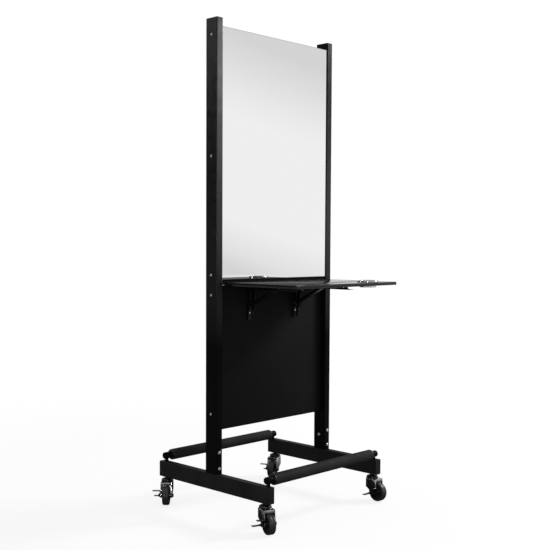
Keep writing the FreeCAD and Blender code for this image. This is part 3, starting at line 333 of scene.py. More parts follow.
def shells(node):
    """The points of each separate solid in a frame node."""
    mesh = bmesh.new()
    mesh.from_mesh(CAD[node].data)
    bmesh.ops.remove_doubles(mesh, verts=mesh.verts, dist=WELD)
    left = set(mesh.verts)
    found = []
    while left:
        start = left.pop()
        shell, edge = [start], [start]
        while edge:
            for link in edge.pop().link_edges:
                for vert in link.verts:
                    if vert in left:
                        left.remove(vert)
                        shell.append(vert)
                        edge.append(vert)
        found.append([vert.co.copy() for vert in shell])
    mesh.free()
    return found


def box_of(points):
    """Lowest and highest corner of some points."""
    return (Vector(min(p[i] for p in points) for i in range(3)),
            Vector(max(p[i] for p in points) for i in range(3)))


def coat(obj, *finishes):
    """Give a piece its finishes, the first one all over."""
    obj.data.materials.clear()
    for finish in finishes:
        obj.data.materials.append(bpy.data.materials[finish])
    return obj


def coat_faces(obj, slot, test):
    """Give the faces that pass a test another of the piece's finishes."""
    for face in obj.data.polygons:
        if test(face.center, face.normal):
            face.material_index = slot


def stands_for(obj, body, slot, *nodes):
    """Fix a piece to its body in place of frame nodes."""
    for node in nodes:
        CAD[node].select_set(False)
    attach(obj, body)
    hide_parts(*nodes)


# ---- Finishes ----------------------------------------------------------------------------------

class Tree:
    """The nodes of a material or a world, under construction."""

    def __init__(self, owner):
        owner.use_nodes = True
        self.nodes = owner.node_tree.nodes
        self.links = owner.node_tree.links
        self.nodes.clear()

    def feed(self, socket, value):
        """Give an input a value, or link it to another node's output."""
        if isinstance(value, bpy.types.NodeSocket):
            self.links.new(value, socket)
        else:
            socket.default_value = value

    def add(self, kind, inputs, **settings):
        """A new node with its settings and inputs."""
        node = self.nodes.new(f"ShaderNode{kind}")
        for key, value in settings.items():
            setattr(node, key, value)
        for socket, value in inputs.items():
            self.feed(node.inputs[socket], value)
        return node

    def between(self, pattern, low, high, start=0.3, end=0.7):
        """A pattern brought between two values."""
        return self.add("MapRange", {"Value": pattern, "From Min": start, "From Max": end,
                                     "To Min": low, "To Max": high}).outputs[0]

    def maths(self, operation, *values):
        """One sum over outputs and numbers."""
        return self.add("Math", dict(enumerate(values)), operation=operation).outputs[0]

    def mixed(self, share_of_second, first, second):
        """Two shaders mixed by a share."""
        return self.add("MixShader", {0: share_of_second, 1: first.outputs[0],
                                      2: second.outputs[0]})


class Finish(Tree):
    """A material under construction, read in object coordinates."""

    def __init__(self, name, colour, rough, metallic=0.0, specular=0.5):
        material = bpy.data.materials.get(name) or bpy.data.materials.new(name)
        super().__init__(material)
        self.shader = self.add("BsdfPrincipled", {
            "Base Color": (*colour, 1), "Roughness": rough, "Metallic": metallic,
            "Specular IOR Level": specular})
        self.add("OutputMaterial", {"Surface": self.shader.outputs[0]})
        self.coordinates = self.add("TexCoord", {}).outputs["Object"]
        self.relief = None
        material.diffuse_color = (*colour, 1)

    def stretched(self, scale):
        """Object coordinates scaled along each axis."""
        return self.add("Mapping", {"Vector": self.coordinates, "Scale": scale}).outputs[0]

    def noise(self, scale, detail=3.0, along=None):
        """Soft noise, with its features 1 / scale metres across."""
        return self.add("TexNoise", {"Vector": along or self.coordinates, "Scale": scale,
                                     "Detail": detail}).outputs["Fac"]

    def cells(self, scale):
        """Crystal cells."""
        return self.add("TexVoronoi", {"Vector": self.coordinates,
                                       "Scale": scale}).outputs["Color"]

    def blend(self, pattern, one, other, start=0.3, end=0.7):
        """A colour that runs between two as a pattern does."""
        return self.add("Mix", {"Factor": self.between(pattern, 0, 1, start, end),
                                "A": (*one, 1), "B": (*other, 1)},
                        data_type="RGBA").outputs["Result"]

    def rough(self, pattern, low, high):
        """Roughness that follows a pattern."""
        self.feed(self.shader.inputs["Roughness"], self.between(pattern, low, high))
        return self

    def colour(self, result):
        """Base colour from a node."""
        self.feed(self.shader.inputs["Base Color"], result)
        return self

    def bump(self, pattern, distance, strength=1.0):
        """A relief laid over the ones before it."""
        inputs = {"Height": pattern, "Distance": distance, "Strength": strength}
        if self.relief:
            inputs["Normal"] = self.relief
        self.relief = self.add("Bump", inputs).outputs[0]
        self.feed(self.shader.inputs["Normal"], self.relief)
        return self

    def along(self, axis):
        """One object coordinate, in metres."""
        return self.add("SeparateXYZ", {0: self.coordinates}).outputs[axis]


def lighter(colour, factor):
    """A colour times a factor."""
    return tuple(min(1.0, c * factor) for c in colour)


def around(colour, low, high):
    """A darker and a lighter shade of a colour."""
    return lighter(colour, low), lighter(colour, high)


def coated_steel(name, colour, rough, grain, specular):
    """Paint on steel: a fine orange peel, cloudy gloss and a slightly uneven black."""
    finish = Finish(name, colour, rough, specular=specular)
    peel = finish.noise(grain, 2)
    cloud = finish.noise(9, 4)
    finish.rough(finish.noise(38, 5), rough - 0.05, rough + 0.06)
    finish.colour(finish.blend(cloud, *around(colour, 0.8, 1.35)))
    finish.bump(peel, 0.00006, 0.5).bump(finish.noise(grain / 6, 2), 0.00012, 0.25)
    return finish


def make_finishes(colours):
    """Every finish that the station needs."""
    tube = coated_steel("powder_coat", colours.coat, colours.coat_rough, 900, 0.2)
    # Painted sheen by height and side, standing in for how light falls: more shine from 0.64 m up.
    # Above 1.15 m the left tube gains and the right one loses, and the left one falls back at its
    # top
    height, across = tube.along("Z"), tube.along("X")
    upper_painted_sheen = tube.maths("MULTIPLY", tube.between(across, 1.0, -0.75, -0.1, 0.1),
                       tube.between(height, 0.0, 0.48, 1.15, 1.60))
    crest_painted_sheen = tube.maths("MULTIPLY", tube.between(across, 1.0, 0.0, -0.1, 0.1),
                       tube.between(height, 0.0, -0.45, 1.66, 1.84))
    gloss = tube.maths("ADD", tube.between(height, 0.02, 0.46, 0.64, 1.05),
                       tube.maths("ADD", upper_painted_sheen, crest_painted_sheen))
    tube.feed(tube.shader.inputs["Specular IOR Level"], gloss)
    coated_steel("bracket_paint", lighter(colours.coat, 1.2), 0.34, 1300, 0.25)
    # Painted light: the feet get a lighter, less glossy copy of the coat, so they read brighter
    # than the tubes above
    coated_steel("foot_coat_painted_light", lighter(colours.coat, 4.5), 0.50, 900, 0.04)
    roller = coated_steel("roller_sleeve", lighter(colours.coat, 5.0), 0.72, 500, 0.12)
    roller.bump(roller.noise(60, 1, roller.stretched((1, 14, 14))), 0.0002, 0.15)

    board = Finish("black_board", colours.board, colours.board_rough, specular=0.06)
    scuffs = board.noise(7, 6, board.stretched((1, 1, 3)))
    board.rough(scuffs, colours.board_rough - 0.05, colours.board_rough + 0.08)
    board.colour(board.blend(board.noise(3, 5), *around(colours.board, 0.85, 1.3)))
    board.bump(board.noise(1500, 2), 0.00005, 0.5).bump(board.noise(120, 4), 0.00008, 0.2)

    shelf = Finish("shelf_face", colours.board, 0.13, specular=0.36)
    shelf.rough(shelf.noise(6, 5), 0.11, 0.16)
    shelf.colour(shelf.blend(shelf.noise(4, 5), *around(colours.board, 0.85, 1.4)))
    shelf.bump(shelf.noise(1500, 2), 0.00003, 0.3)

    band = Finish("edge_band", lighter(colours.board, 1.1), 0.14, specular=0.40)
    band.rough(band.noise(45, 4), 0.11, 0.18)
    band.colour(band.blend(band.noise(20, 3), *around(colours.board, 0.7, 1.2)))
    band.bump(band.noise(700, 2), 0.00004, 0.4)

    wood = Finish("core_wood", colours.wood, 0.62, specular=0.35)
    grain = wood.noise(14, 8, wood.stretched((6, 6, 0.6)))
    wood.colour(wood.blend(grain, *around(colours.wood, 0.62, 1.2)))
    wood.rough(grain, 0.52, 0.72).bump(grain, 0.0003, 0.4)

    silver = Finish("mirror_silver", colours.mirror, 0.0, metallic=1.0)
    # Darker along the mirror's edge
    low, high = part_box("front_mirror")
    across = silver.maths("ABSOLUTE", silver.along("X"))
    from_side = silver.maths("SUBTRACT", high.x, across)
    middle = (low.z + high.z) / 2
    upward = silver.maths("ABSOLUTE", silver.maths("SUBTRACT", silver.along("Z"), middle))
    from_end = silver.maths("SUBTRACT", high.z - middle, upward)
    rim = silver.maths("MINIMUM", from_side, from_end)
    silver.colour(silver.blend(rim, lighter(colours.mirror, 0.62), colours.mirror, 0.0012, 0.0032))
    glass = Finish("glass_edge", (0.16, 0.27, 0.23), 0.18, specular=0.6)
    glass.rough(glass.noise(220, 3), 0.12, 0.26)
    glass.colour(glass.blend(glass.noise(30, 3), (0.10, 0.19, 0.16), (0.20, 0.33, 0.28)))

    chrome = Finish("chrome", colours.chrome, 0.07, metallic=1.0)
    chrome.rough(chrome.noise(90, 5), 0.045, 0.11)
    chrome.colour(chrome.blend(chrome.noise(25, 3), lighter(colours.chrome, 0.93), colours.chrome))
    chrome.bump(chrome.noise(240, 3), 0.00006, 0.25).bump(chrome.noise(55, 1), 0.0022, 0.6)

    zinc = Finish("zinc_plate", colours.zinc, 0.30, metallic=1.0)
    zinc.rough(zinc.noise(420, 3), 0.22, 0.38)
    zinc.colour(zinc.blend(zinc.cells(650), *around(colours.zinc, 0.82, 1.1), 0, 1))
    zinc.bump(zinc.noise(900, 2), 0.00003, 0.3)

    oxide = Finish("black_oxide", (0.028, 0.028, 0.030), 0.34, metallic=0.7)
    oxide.rough(oxide.noise(300, 4), 0.26, 0.42)
    oxide.colour(oxide.blend(oxide.noise(160, 4), (0.018, 0.018, 0.019), (0.045, 0.044, 0.045)))
    oxide.bump(oxide.noise(800, 2), 0.00003, 0.3)

    dark = Finish("dark_steel", (0.075, 0.075, 0.078), 0.30, metallic=1.0)
    dark.rough(dark.noise(260, 4), 0.22, 0.40)
    dark.colour(dark.blend(dark.noise(110, 3), (0.03, 0.03, 0.031), (0.16, 0.16, 0.165)))
    dark.bump(dark.noise(700, 2), 0.00003, 0.3)

    spring = Finish("spring_steel", (0.40, 0.41, 0.42), 0.26, metallic=1.0)
    drawn = spring.noise(300, 3, spring.stretched((1, 12, 12)))
    spring.rough(drawn, 0.2, 0.34).bump(drawn, 0.00003, 0.3)
    spring.colour(spring.blend(drawn, (0.33, 0.34, 0.35), (0.45, 0.46, 0.47)))

    for name, colour, rough, grain, shine in (("moulded_plastic", colours.plastic, 0.30, 1100, 0.5),
                                              ("cap_plastic", colours.plastic, 0.45, 900, 0.15),
                                              ("hub_plastic", colours.hub, 0.22, 700, 0.5)):
        moulded = Finish(name, colour, rough, specular=shine)
        moulded.rough(moulded.noise(60, 4), rough - 0.05, rough + 0.07)
        moulded.colour(moulded.blend(moulded.noise(30, 3), *around(colour, 0.85, 1.25)))
        moulded.bump(moulded.noise(grain, 2), 0.00005, 0.4)

    tread = Finish("tyre_tread", colours.tread, 0.34, specular=0.5)
    tread.rough(tread.noise(120, 5), 0.26, 0.46)
    dust = tread.noise(45, 6)
    tread.colour(tread.blend(dust, *around(colours.tread, 0.75, 1.35)))
    tread.bump(tread.noise(1000, 3), 0.00008, 0.5).bump(tread.noise(90, 3), 0.00015, 0.2)


# Finish of each frame node that keeps its own shape
NODE_FINISH = {
    # The feet wear the lighter copy of the coat, which is painted light
    "foot_coat_painted_light": ("left_foot_tube", "right_foot_tube"),
    "powder_coat": ("left_upright", "right_upright",
                    "foot_stubs", "footrest_tubes"),
    "core_wood": ("mirror_core_frame",),
    "black_board": ("mirror_backing_boards",),
    "zinc_plate": ("bracket_pins", "front_brace_pins", "rear_brace_pins"),
    "black_oxide": ("caster_stems",),
}


class STATION_OT_finishes(bpy.types.Operator):
    """Make the finishes and lay them on the parts that keep the frame's own shape"""
    bl_idname = "station.finishes"
    bl_label = "Finishes"

    def execute(self, context):
        make_finishes(context.scene.station_finishes)
        for finish, nodes in NODE_FINISH.items():
            for node in nodes:
                for slot in CAD[node].material_slots:
                    slot.material = bpy.data.materials[finish]
        return {"FINISHED"}


# ---- Mirrors and boards ------------------------------------------------------------------------

class STATION_OT_mirrors(bpy.types.Operator):
    """Model both mirrors as glass with a ground edge"""
    bl_idname = "station.mirrors"
    bl_label = "Mirrors"

    def execute(self, context):
        shapes = context.scene.station_shapes
        for side in SIDES:
            pane = block(f"{side}_mirror_glass", *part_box(f"{side}_mirror"))
            pick(pane, "EDGE", lambda a, b: True)
            bpy.ops.mesh.bevel(offset=shapes.glass_arris, segments=1, affect="EDGES")
            bpy.ops.object.mode_set(mode="OBJECT")
            coat(pane, "mirror_silver", "glass_edge")
            coat_faces(pane, 1, lambda centre, normal: abs(normal.y) < 0.9)
            stands_for(pane, "frame", "mirror_glass", f"{side}_mirror")
        return {"FINISHED"}


def board(name, low, high, edge):
    """A board with its edge band, its faces along the two longer sides."""
    low, high = Vector(low), Vector(high)
    piece = block(name, low, high)
    thin = min(range(3), key=lambda axis: high[axis] - low[axis])
    soften(piece, edge)
    coat(piece, "black_board", "edge_band")
    coat_faces(piece, 1, lambda centre, normal: abs(normal[thin]) < 0.7)
    return piece


class STATION_OT_boards(bpy.types.Operator):
    """Model the shelves and the lower panel with their edge bands"""
    bl_idname = "station.boards"
    bl_label = "Boards"

    def execute(self, context):
        shapes = context.scene.station_shapes
        panel = board("banded_lower_panel", *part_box("lower_panel"), shapes.board_edge)
        stands_for(panel, "frame", "black_board", "lower_panel")
        for side in SIDES:
            low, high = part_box(f"{side}_shelf")
            ring_low, ring_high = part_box(f"{side}_tool_holder")
            thin = min(range(3), key=lambda axis: high[axis] - low[axis])
            shelf = block(f"{side}_shelf_board", low, high)
            pick(shelf, "EDGE", lambda a, b: abs((b - a).normalized()[thin]) > 0.9)
            bpy.ops.mesh.bevel(offset=shapes.board_corner, segments=4, affect="EDGES")
            fresh()
            turn = Matrix.Identity(4) if thin == 2 else ALONG_Y
            bpy.ops.mesh.primitive_cylinder_add(
                vertices=shapes.round_steps, radius=HOLDER_HOLE, depth=0.1,
                location=(ring_low + ring_high) / 2, rotation=turn.to_euler())
            cut_away(shelf, named("holder_hole"))
            soften(shelf, shapes.board_edge)
            coat(shelf, "shelf_face", "edge_band")
            coat_faces(shelf, 1, lambda centre, normal: abs(normal[thin]) < 0.7)
            stands_for(shelf, f"{side}_shelf_leaf", "black_board", f"{side}_shelf")
        return {"FINISHED"}


class STATION_OT_holders(bpy.types.Operator):
    """Spin the plated rings that hold a hair tool in each shelf"""
    bl_idname = "station.holders"
    bl_label = "Tool holders"

    def execute(self, context):
        steps = context.scene.station_shapes.round_steps
        # Radius and height of the ring's section, with z = 0 on the shelf
        section = [(0.0302, -0.0210), (0.0308, -0.0213), (0.0316, -0.0213), (0.0320, -0.0208),
                   (0.0320, 0.0), (0.0410, 0.0), (0.0410, 0.0016), (0.0406, 0.0028),
                   (0.0397, 0.0038), (0.0380, 0.0047), (0.0357, 0.0055), (0.0338, 0.0059),
                   (0.0324, 0.0060), (0.0310, 0.0056), (0.0302, 0.0046), (0.0300, 0.0030),
                   (0.0300, -0.0202), (0.0302, -0.0210)]
        for side in SIDES:
            low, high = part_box(f"{side}_tool_holder")
            middle = (low + high) / 2
            if side == "front":
                place = Matrix.Translation((middle.x, middle.y, high.z - HOLDER_FLANGE))
            else:
                seat = (middle.x, high.y - HOLDER_FLANGE, middle.z)
                place = Matrix.Translation(seat) @ ALONG_Y
            ring = smooth(spun(f"{side}_holder_ring", section, steps, place), 50)
            coat(ring, "chrome")
            stands_for(ring, f"{side}_shelf_leaf", "chrome", f"{side}_tool_holder")
        return {"FINISHED"}


# ---- Frame -------------------------------------------------------------------------------------

class STATION_OT_caps(bpy.types.Operator):
    """Model the moulded caps in the ends of the tubes"""
    bl_idname = "station.caps"
    bl_label = "End caps"

    def execute(self, context):
        edge = context.scene.station_shapes.cap_edge
        made = []
        for points in shells("tube_end_caps"):
            low, high = box_of(points)
            upright = high.z > 1
            axis = 2 if upright else 1
            outward = 1 if (low + high)[axis] > 0 else -1
            flange_low, flange_high = low.copy(), high.copy()
            if outward > 0:
                flange_low[axis] = high[axis] - CAP_FLANGE
            else:
                flange_high[axis] = low[axis] + CAP_FLANGE
            cap = block("cap", flange_low, flange_high)
            pick(cap, "EDGE", lambda a, b: abs((b - a).normalized()[axis]) > 0.9)
            bpy.ops.mesh.bevel(offset=CAP_CORNER, segments=4, affect="EDGES")
            bpy.ops.object.mode_set(mode="OBJECT")
            pick(cap, "FACE", lambda centre, normal: normal[axis] * outward > 0.9)
            bpy.ops.mesh.inset(thickness=edge * 0.5, depth=0)
            bpy.ops.object.mode_set(mode="OBJECT")
            pick(cap, "FACE", lambda centre, normal: normal[axis] * outward < -0.9)
            bpy.ops.mesh.inset(thickness=CAP_PLUG_INSET, depth=0)
            reach = Vector((0, 0, 0))
            reach[axis] = -CAP_PLUG * outward
            bpy.ops.mesh.extrude_region_move(TRANSFORM_OT_translate={"value": reach})
            bpy.ops.object.mode_set(mode="OBJECT")
            made.append(soften(cap, edge * 0.5, 3))
        caps = coat(joined("moulded_end_caps", made), "cap_plastic")
        stands_for(caps, "frame", "black_plastic", "tube_end_caps")
        return {"FINISHED"}


def fastener(points):
    """Where a screw's head sits and which way it points, with its radii, length and head height."""
    low, high = box_of(points)
    span = high - low
    axis = max(range(3), key=lambda i: span[i])
    middle = (low + high) / 2
    across = [i for i in range(3) if i != axis]
    far = [(math.hypot(*(p[i] - middle[i] for i in across)), p[axis]) for p in points]
    head_radius = max(r for r, _ in far)
    wide = [along for r, along in far if r > head_radius * 0.8]
    shank_radius = max(r for r, along in far if r < head_radius * 0.7)
    outward = 1 if sum(wide) / len(wide) > middle[axis] else -1
    seat = min(wide) if outward > 0 else max(wide)
    top = high[axis] if outward > 0 else low[axis]
    direction = Vector((0, 0, 0))
    direction[axis] = outward
    base = middle.copy()
    base[axis] = seat
    place = Matrix.Translation(base) @ direction.to_track_quat("Z", "Y").to_matrix().to_4x4()
    return place, head_radius, shank_radius, span[axis] - abs(top - seat), abs(top - seat)


def socket_screw(head, shank, length, height, depth):
    """A screw with a rounded head and a hexagon socket, its head's seat at z = 0."""
    profile = [(0, height), (head * 0.50, height), (head * 0.72, height * 0.93),
               (head * 0.88, height * 0.74), (head * 0.97, height * 0.42), (head, height * 0.12),
               (head * 0.985, 0), (shank, 0), (shank, -length + shank * 0.3),
               (shank * 0.7, -length), (0, -length)]
    screw = spun("screw", profile, 32)
    fresh()
    bpy.ops.mesh.primitive_cylinder_add(vertices=6, radius=head * 0.44, depth=depth * 2,
                                        location=(0, 0, height))
    cut_away(screw, named("socket"))
    return smooth(screw, 32)


class STATION_OT_screws(bpy.types.Operator):
    """Model the screws and bolts with rounded heads and hexagon sockets"""
    bl_idname = "station.screws"
    bl_label = "Screws"

    def execute(self, context):
        depth = context.scene.station_shapes.socket_depth
        for node, body in (("side_screws", "frame"), ("foot_joint_bolts", "frame"),
                           ("bracket_leg_screws", "frame"),
                           ("front_arm_screws", "front_shelf_leaf"),
                           ("rear_arm_screws", "rear_shelf_leaf")):
            found = [fastener(points) for points in shells(node)]
            _, head, shank, length, height = found[0]
            master = socket_screw(head, shank, length, height, min(depth, height * 0.6))
            screws = copies(f"{node}_socket", master, [place for place, *_ in found])
            coat(screws, "zinc_plate")
            stands_for(screws, body, "zinc_steel", node)
        return {"FINISHED"}


class STATION_OT_brackets(bpy.types.Operator):
    """Round over the pressed steel parts of the folding brackets"""
    bl_idname = "station.brackets"
    bl_label = "Folding brackets"

    def execute(self, context):
        edge = context.scene.station_shapes.pressed_edge
        parts = [("bracket_legs", "frame")]
        for side in SIDES:
            parts += [(f"{side}_bracket_arms", f"{side}_shelf_leaf"),
                      (f"{side}_bracket_braces", f"{side}_braces"),
                      (f"{side}_release_levers", f"{side}_levers")]
        for node, body in parts:
            piece = coat(softened_node(node, f"{node}_pressed", edge), "bracket_paint")
            stands_for(piece, body, "powder_coated_steel", node)
        for side in SIDES:
            node = f"{side}_latch_springs"
            low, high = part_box(node)
            leaves = coat(softened_node(node, f"{side}_latch_leaves", LEAF_EDGE, 1),
                          "spring_steel")
            # Points at the flat end against the arm and at the tip by the lever's thumb plate
            root, tip = (low + high) / 2, (low + high) / 2
            up = 2 if side == "front" else 1
            root[up], tip[up] = high[up] - SPRING_ROOT_DEPTH, low[up]
            CAD[node].select_set(False)
            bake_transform(leaves)
            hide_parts(node)
        return {"FINISHED"}


# ---- Foot bars ---------------------------------------------------------------------------------

class STATION_OT_foot_bars(bpy.types.Operator):
    """Spin the rollers and their end bushes, and round over the posts and sockets"""
    bl_idname = "station.foot_bars"
    bl_label = "Foot bars"

    def execute(self, context):
        shapes = context.scene.station_shapes
        sockets = softened_node("footrest_brackets", "footrest_brackets_smooth", SOCKET_EDGE)
        coat(smooth(sockets, 40), "powder_coat")
        stands_for(sockets, "frame", "powder_coated_steel", "footrest_brackets")
        for side in SIDES:
            low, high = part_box(f"{side}_footrest_roller")
            middle, half = (low + high) / 2, (high.x - low.x) / 2
            place = Matrix.Translation(middle) @ ALONG_X
            outer, inner = SLEEVE_OUTER, SLEEVE_INNER
            # Both ends are rounded over
            sleeve = spun(f"{side}_roller_sleeve", [
                (inner, -half), (outer - 0.0006, -half), (outer - 0.0001, -half + 0.0006),
                (outer, -half + 0.0015), (outer, -half / 2), (outer, 0), (outer, half / 2),
                (outer, half - 0.0015), (outer - 0.0001, half - 0.0006), (outer - 0.0006, half),
                (inner, half), (inner, -half)], shapes.round_steps, place)
            coat(smooth(sleeve), "roller_sleeve")
            stands_for(sleeve, f"{side}_roller", "powder_coated_steel", f"{side}_footrest_roller")
            bush = spun("bush", [
                (0.0111, -0.018), (0.0180, -0.018), (0.0185, -0.0172), (0.0185, 0.0), (0.0196, 0.0),
                (0.0200, 0.0005), (0.0200, 0.0021), (0.0191, 0.0030), (0.0174, 0.0030),
                (0.0170, 0.0026), (0.0168, 0.0018), (0.0134, 0.0018), (0.0131, 0.0026),
                (0.0127, 0.0030), (0.0115, 0.0030), (0.0111, 0.0026), (0.0111, -0.018)],
                shapes.round_steps)
            right = Matrix.Translation(middle + Vector((half, 0, 0))) @ ALONG_X
            left = Matrix.Translation(middle - Vector((half, 0, 0))) @ ALONG_X.inverted()
            bushes = copies(f"{side}_moulded_bushes", bush, [left, right])
            coat(smooth(bushes), "moulded_plastic")
            stands_for(bushes, f"{side}_roller", "black_plastic", f"{side}_roller_bushes")
        return {"FINISHED"}


# ---- Casters -----------------------------------------------------------------------------------

def at_stem(corner):
    """The place and turn of a caster."""
    x, y, turn = CASTERS[corner]
    return Matrix.Translation((x, y, 0)) @ Matrix.Rotation(math.radians(turn), 4, "Z")


class STATION_OT_casters(bpy.types.Operator):
    """Spin the tyres, hubs and dust covers, and round over the forks, axles and brakes"""
    bl_idname = "station.casters"
    bl_label = "Casters"

    def execute(self, context):
        shapes = context.scene.station_shapes
        steps = shapes.round_steps
        # Sections as radius and height, in metres
        tyre = [(0.0280, -0.0118), (0.0286, -0.0125), (0.0322, -0.0125), (0.0326, -0.0121),
                (0.0331, -0.0125), (0.0345, -0.0123), (0.0360, -0.0115), (0.0370, -0.0100),
                (0.0374, -0.0085), (0.0375, -0.0060), (0.0375, -0.0004), (0.0373, 0.0),
                (0.0375, 0.0004), (0.0375, 0.0060), (0.0374, 0.0085), (0.0370, 0.0100),
                (0.0360, 0.0115), (0.0345, 0.0123), (0.0331, 0.0125), (0.0326, 0.0121),
                (0.0322, 0.0125), (0.0286, 0.0125), (0.0280, 0.0118), (0.0280, -0.0118)]
        hub = [(0.00405, -0.0193), (0.0078, -0.0193), (0.0088, -0.0186), (0.0090, -0.0176),
               (0.0090, -0.0052), (0.0100, -0.0036), (0.0118, -0.0030), (0.0212, -0.0030),
               (0.0232, -0.0038), (0.0240, -0.0056), (0.0242, -0.0102), (0.0248, -0.0110),
               (0.0276, -0.0110), (0.0280, -0.0106)]
        hub += [(radius, -height) for radius, height in reversed(hub)] + [hub[0]]
        for corner in CASTERS:
            place = at_stem(corner)
            axle = place @ Matrix.Translation((0, -STEM_TO_AXLE, AXLE_HEIGHT)) @ ALONG_X
            piece = smooth(spun(f"{corner}_moulded_tyre", tyre, steps + 24, axle), 50)
            stands_for(coat(piece, "tyre_tread"), f"{corner}_wheel", "grey_tread", f"{corner}_tyre")
            piece = smooth(spun(f"{corner}_moulded_hub", hub, steps, axle), 50)
            stands_for(coat(piece, "hub_plastic"), f"{corner}_wheel", "grey_plastic",
                       f"{corner}_wheel_hub")
            for node, name, edge, segments, finish, body, slot in (
                    ("caster_fork", "plated_fork", shapes.fork_edge, 3,
                     "chrome", "swivel", "chrome"),
                    ("caster_axle", "axle_and_nut", AXLE_EDGE, 2,
                     "black_oxide", "swivel", "black_oxide_steel"),
                    ("brake_lever", "brake_rocker", BRAKE_EDGE, 2,
                     "dark_steel", "brake", "zinc_steel")):
                piece = softened_node(f"{corner}_{node}", f"{corner}_{name}", edge, segments)
                stands_for(coat(piece, finish), f"{corner}_{body}", slot, f"{corner}_{node}")
        cover = spun("cover", [
            (0.0215, 0.0883), (0.0228, 0.0883), (0.0230, 0.0886), (0.0230, 0.0925),
            (0.0226, 0.0945), (0.0215, 0.0962), (0.0195, 0.0977), (0.0165, 0.0989),
            (0.0130, 0.0997), (0.0095, 0.1000), (0.0085, 0.0999), (0.0085, 0.0985),
            (0.0125, 0.0982), (0.0160, 0.0974), (0.0186, 0.0963), (0.0204, 0.0950),
            (0.0213, 0.0936), (0.0215, 0.0920), (0.0215, 0.0883)], steps)
        covers = copies("moulded_dust_covers", cover, [at_stem(corner) for corner in CASTERS])
        coat(smooth(covers, 40), "moulded_plastic")
        stands_for(covers, "frame", "black_plastic", "caster_dome_covers")
        return {"FINISHED"}


# ---- Stage -------------------------------------------------------------------------------------

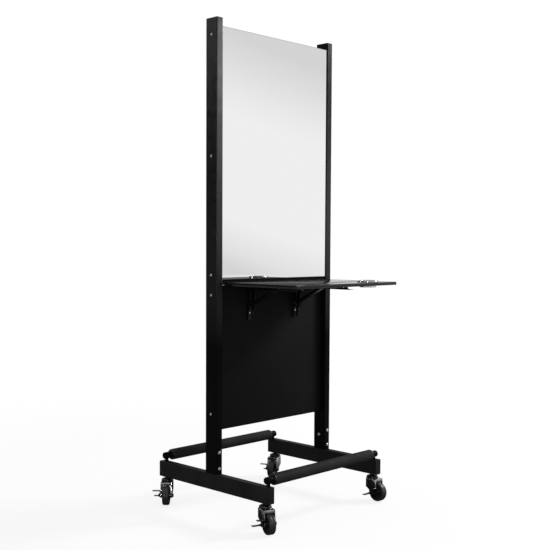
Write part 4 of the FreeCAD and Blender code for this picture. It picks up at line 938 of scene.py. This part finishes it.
class STATION_OT_stage(bpy.types.Operator):
    """Set the camera, the pale floor, the soft lamps and the room"""
    bl_idname = "station.stage"
    bl_label = "Stage"

    def execute(self, context):
        stage = context.scene.station_stage
        fresh()
        bpy.ops.object.camera_add(location=stage.camera_place)
        camera = named("camera")
        turn = Matrix.Rotation(-stage.camera_turn, 4, "Z")
        tilt = Matrix.Rotation(math.radians(90) - stage.camera_dip, 4, "X")
        lean = Matrix.Rotation(stage.camera_roll, 4, "Z")
        camera.matrix_world = Matrix.Translation(stage.camera_place) @ turn @ tilt @ lean
        camera.data.lens = stage.lens
        camera.data.shift_y = stage.camera_rise
        camera.data.sensor_width = 36
        camera.data.clip_end = 200
        context.scene.camera = camera

        fresh()
        bpy.ops.mesh.primitive_plane_add(size=stage.floor)
        floor = named("pale_floor")
        floor.data.materials.append(self.floor_material())
        self.room(context.scene, stage.world_level)
        for name, power, width, place, aim in (
                ("key_lamp", stage.key_power, 1.0, (3.60, -1.85, 3.32), (0, 0, 1.4)),
                ("fill_lamp", stage.fill_power, 1.4, (-3.0, 2.6, 3.6), (0, 0, 1.4)),
                ("glint_lamp", stage.glint_power, 0.35, (-3.3, -3.1, 1.25), (0, 0, 0.6))):
            fresh()
            bpy.ops.object.light_add(type="AREA", location=place)
            lamp = named(name)
            lamp.data.energy = power
            lamp.data.size = width
            lamp.rotation_euler = (Vector(aim) - Vector(place)).to_track_quat("-Z", "Y").to_euler()
        context.scene.view_settings.view_transform = "Standard"
        return {"FINISHED"}

    def floor_material(self):
        """A pale floor that is white to the camera and keeps a soft shadow."""
        material = bpy.data.materials.new("pale_floor")
        tree = Tree(material)
        path = tree.add("LightPath", {}).outputs
        place = tree.add("TexCoord", {}).outputs["Object"]
        away = tree.add("VectorMath", {0: place}, operation="LENGTH").outputs["Value"]
        # Painted shadow: in blurred reflections the floor is painted dark underneath the station
        blurred = tree.maths("SUBTRACT", path["Is Glossy Ray"], path["Is Singular Ray"])
        tone = tree.add("Mix", {"Factor": blurred, "A": FLOOR_TONE,
                                "B": tree.between(away, 0.02, FLOOR_TONE, 0.40, 0.95)})
        paint = tree.add("BsdfDiffuse", {"Color": tone.outputs["Result"]})
        # Far away it is plain white, and in a mirror it glows too
        glow = tree.add("Emission", {"Color": WHITE,
                                     "Strength": tree.between(away, 1.16, 1.30, 1.5, 5.0)})
        mirrored = tree.maths("MULTIPLY", path["Is Singular Ray"], 0.50)
        amount = tree.maths("MULTIPLY_ADD", path["Is Camera Ray"], 0.72, mirrored)
        tree.add("OutputMaterial", {"Surface": tree.mixed(amount, paint, glow).outputs[0]})
        return material

    def room(self, scene, level):
        """White to the camera, even light for the object, and a soft gradient in reflections."""
        scene.world = scene.world or bpy.data.worlds.new("room")
        tree = Tree(scene.world)
        path = tree.add("LightPath", {}).outputs
        way = tree.add("TexCoord", {}).outputs["Generated"]
        split = tree.add("SeparateXYZ", {0: way}).outputs
        # Brighter to the right of the front, darker high up, low down and to the left
        lean = tree.maths("MULTIPLY_ADD", split["X"], 0.51, split["Z"])
        height = tree.add("ValToRGB", {"Fac": tree.between(lean, 0, 1, 0.216, 0.666)})
        stops = height.color_ramp.elements
        for position, value in ((0.25, 0.72), (0.28, 0.80), (0.36, 0.92), (0.59, 0.92),
                                (0.64, 0.87), (0.76, 0.70)):
            stops.new(position).color = (value, value, value, 1)
        for stop, value in ((stops[0], 0.20), (stops[-1], 0.66)):
            stop.color = (value, value, value, 1)
        # Pale all round in a mirror, whose reflections are sharp
        pale = tree.maths("MULTIPLY", path["Is Singular Ray"], 0.70)
        tone = tree.maths("MAXIMUM", height.outputs["Color"], pale)
        # Dark low down behind the left side, but not in a mirror
        behind = tree.add("VectorMath", {0: way, 1: (-0.7, 0.7, -0.9)}, operation="DOT_PRODUCT")
        shade = tree.between(behind.outputs["Value"], 1.0, 0.04, 0.45, 0.90)
        open_side = tree.maths("MAXIMUM", shade, path["Is Singular Ray"])
        # Dimmer where a board is seen against the mirror
        twice = tree.between(path["Glossy Depth"], 1.0, 0.26, 1.0, 2.0)
        seen = tree.add("Background", {"Color": tone,
                                       "Strength": tree.maths("MULTIPLY", open_side, twice)})
        even = tree.add("Background", {"Color": WHITE, "Strength": level})
        white = tree.add("Background", {"Color": WHITE})
        reflected = tree.mixed(path["Is Glossy Ray"], even, seen)
        direct = tree.mixed(path["Is Camera Ray"], reflected, white)
        tree.add("OutputWorld", {"Surface": direct.outputs[0]})


# ---- Panel and registration --------------------------------------------------------------------

OPERATORS = (STATION_OT_finishes, STATION_OT_mirrors, STATION_OT_boards, STATION_OT_holders,
             STATION_OT_caps, STATION_OT_screws, STATION_OT_brackets, STATION_OT_foot_bars,
             STATION_OT_casters, STATION_OT_stage)
GROUPS = {"station_shapes": StationShapes, "station_finishes": StationFinishes,
          "station_stage": StationStage}


class STATION_PT_panel(bpy.types.Panel):
    """Lists the station's settings and the steps that build it"""
    bl_idname = "STATION_PT_panel"
    bl_label = "Salon station"
    bl_space_type = "VIEW_3D"
    bl_region_type = "UI"
    bl_category = "Salon station"

    def draw(self, context):
        for group in GROUPS:
            box = self.layout.box()
            settings = getattr(context.scene, group)
            for key in settings.__annotations__:
                box.prop(settings, key)
        for operator in OPERATORS:
            self.layout.operator(operator.bl_idname)


def register():
    """Register the classes and hang the settings on the scene."""
    for item in (*GROUPS.values(), *OPERATORS, STATION_PT_panel):
        bpy.utils.register_class(item)
    for key, group in GROUPS.items():
        setattr(bpy.types.Scene, key, PointerProperty(type=group))


def unregister():
    """Take the settings and classes away again."""
    for key in GROUPS:
        delattr(bpy.types.Scene, key)
    for item in reversed((*GROUPS.values(), *OPERATORS, STATION_PT_panel)):
        bpy.utils.unregister_class(item)


def main():
    """Build the station step by step."""
    register()
    for operator in OPERATORS:
        group, name = operator.bl_idname.split(".")
        getattr(getattr(bpy.ops, group), name)()
    fresh()


if __name__ == "__main__":
    main()
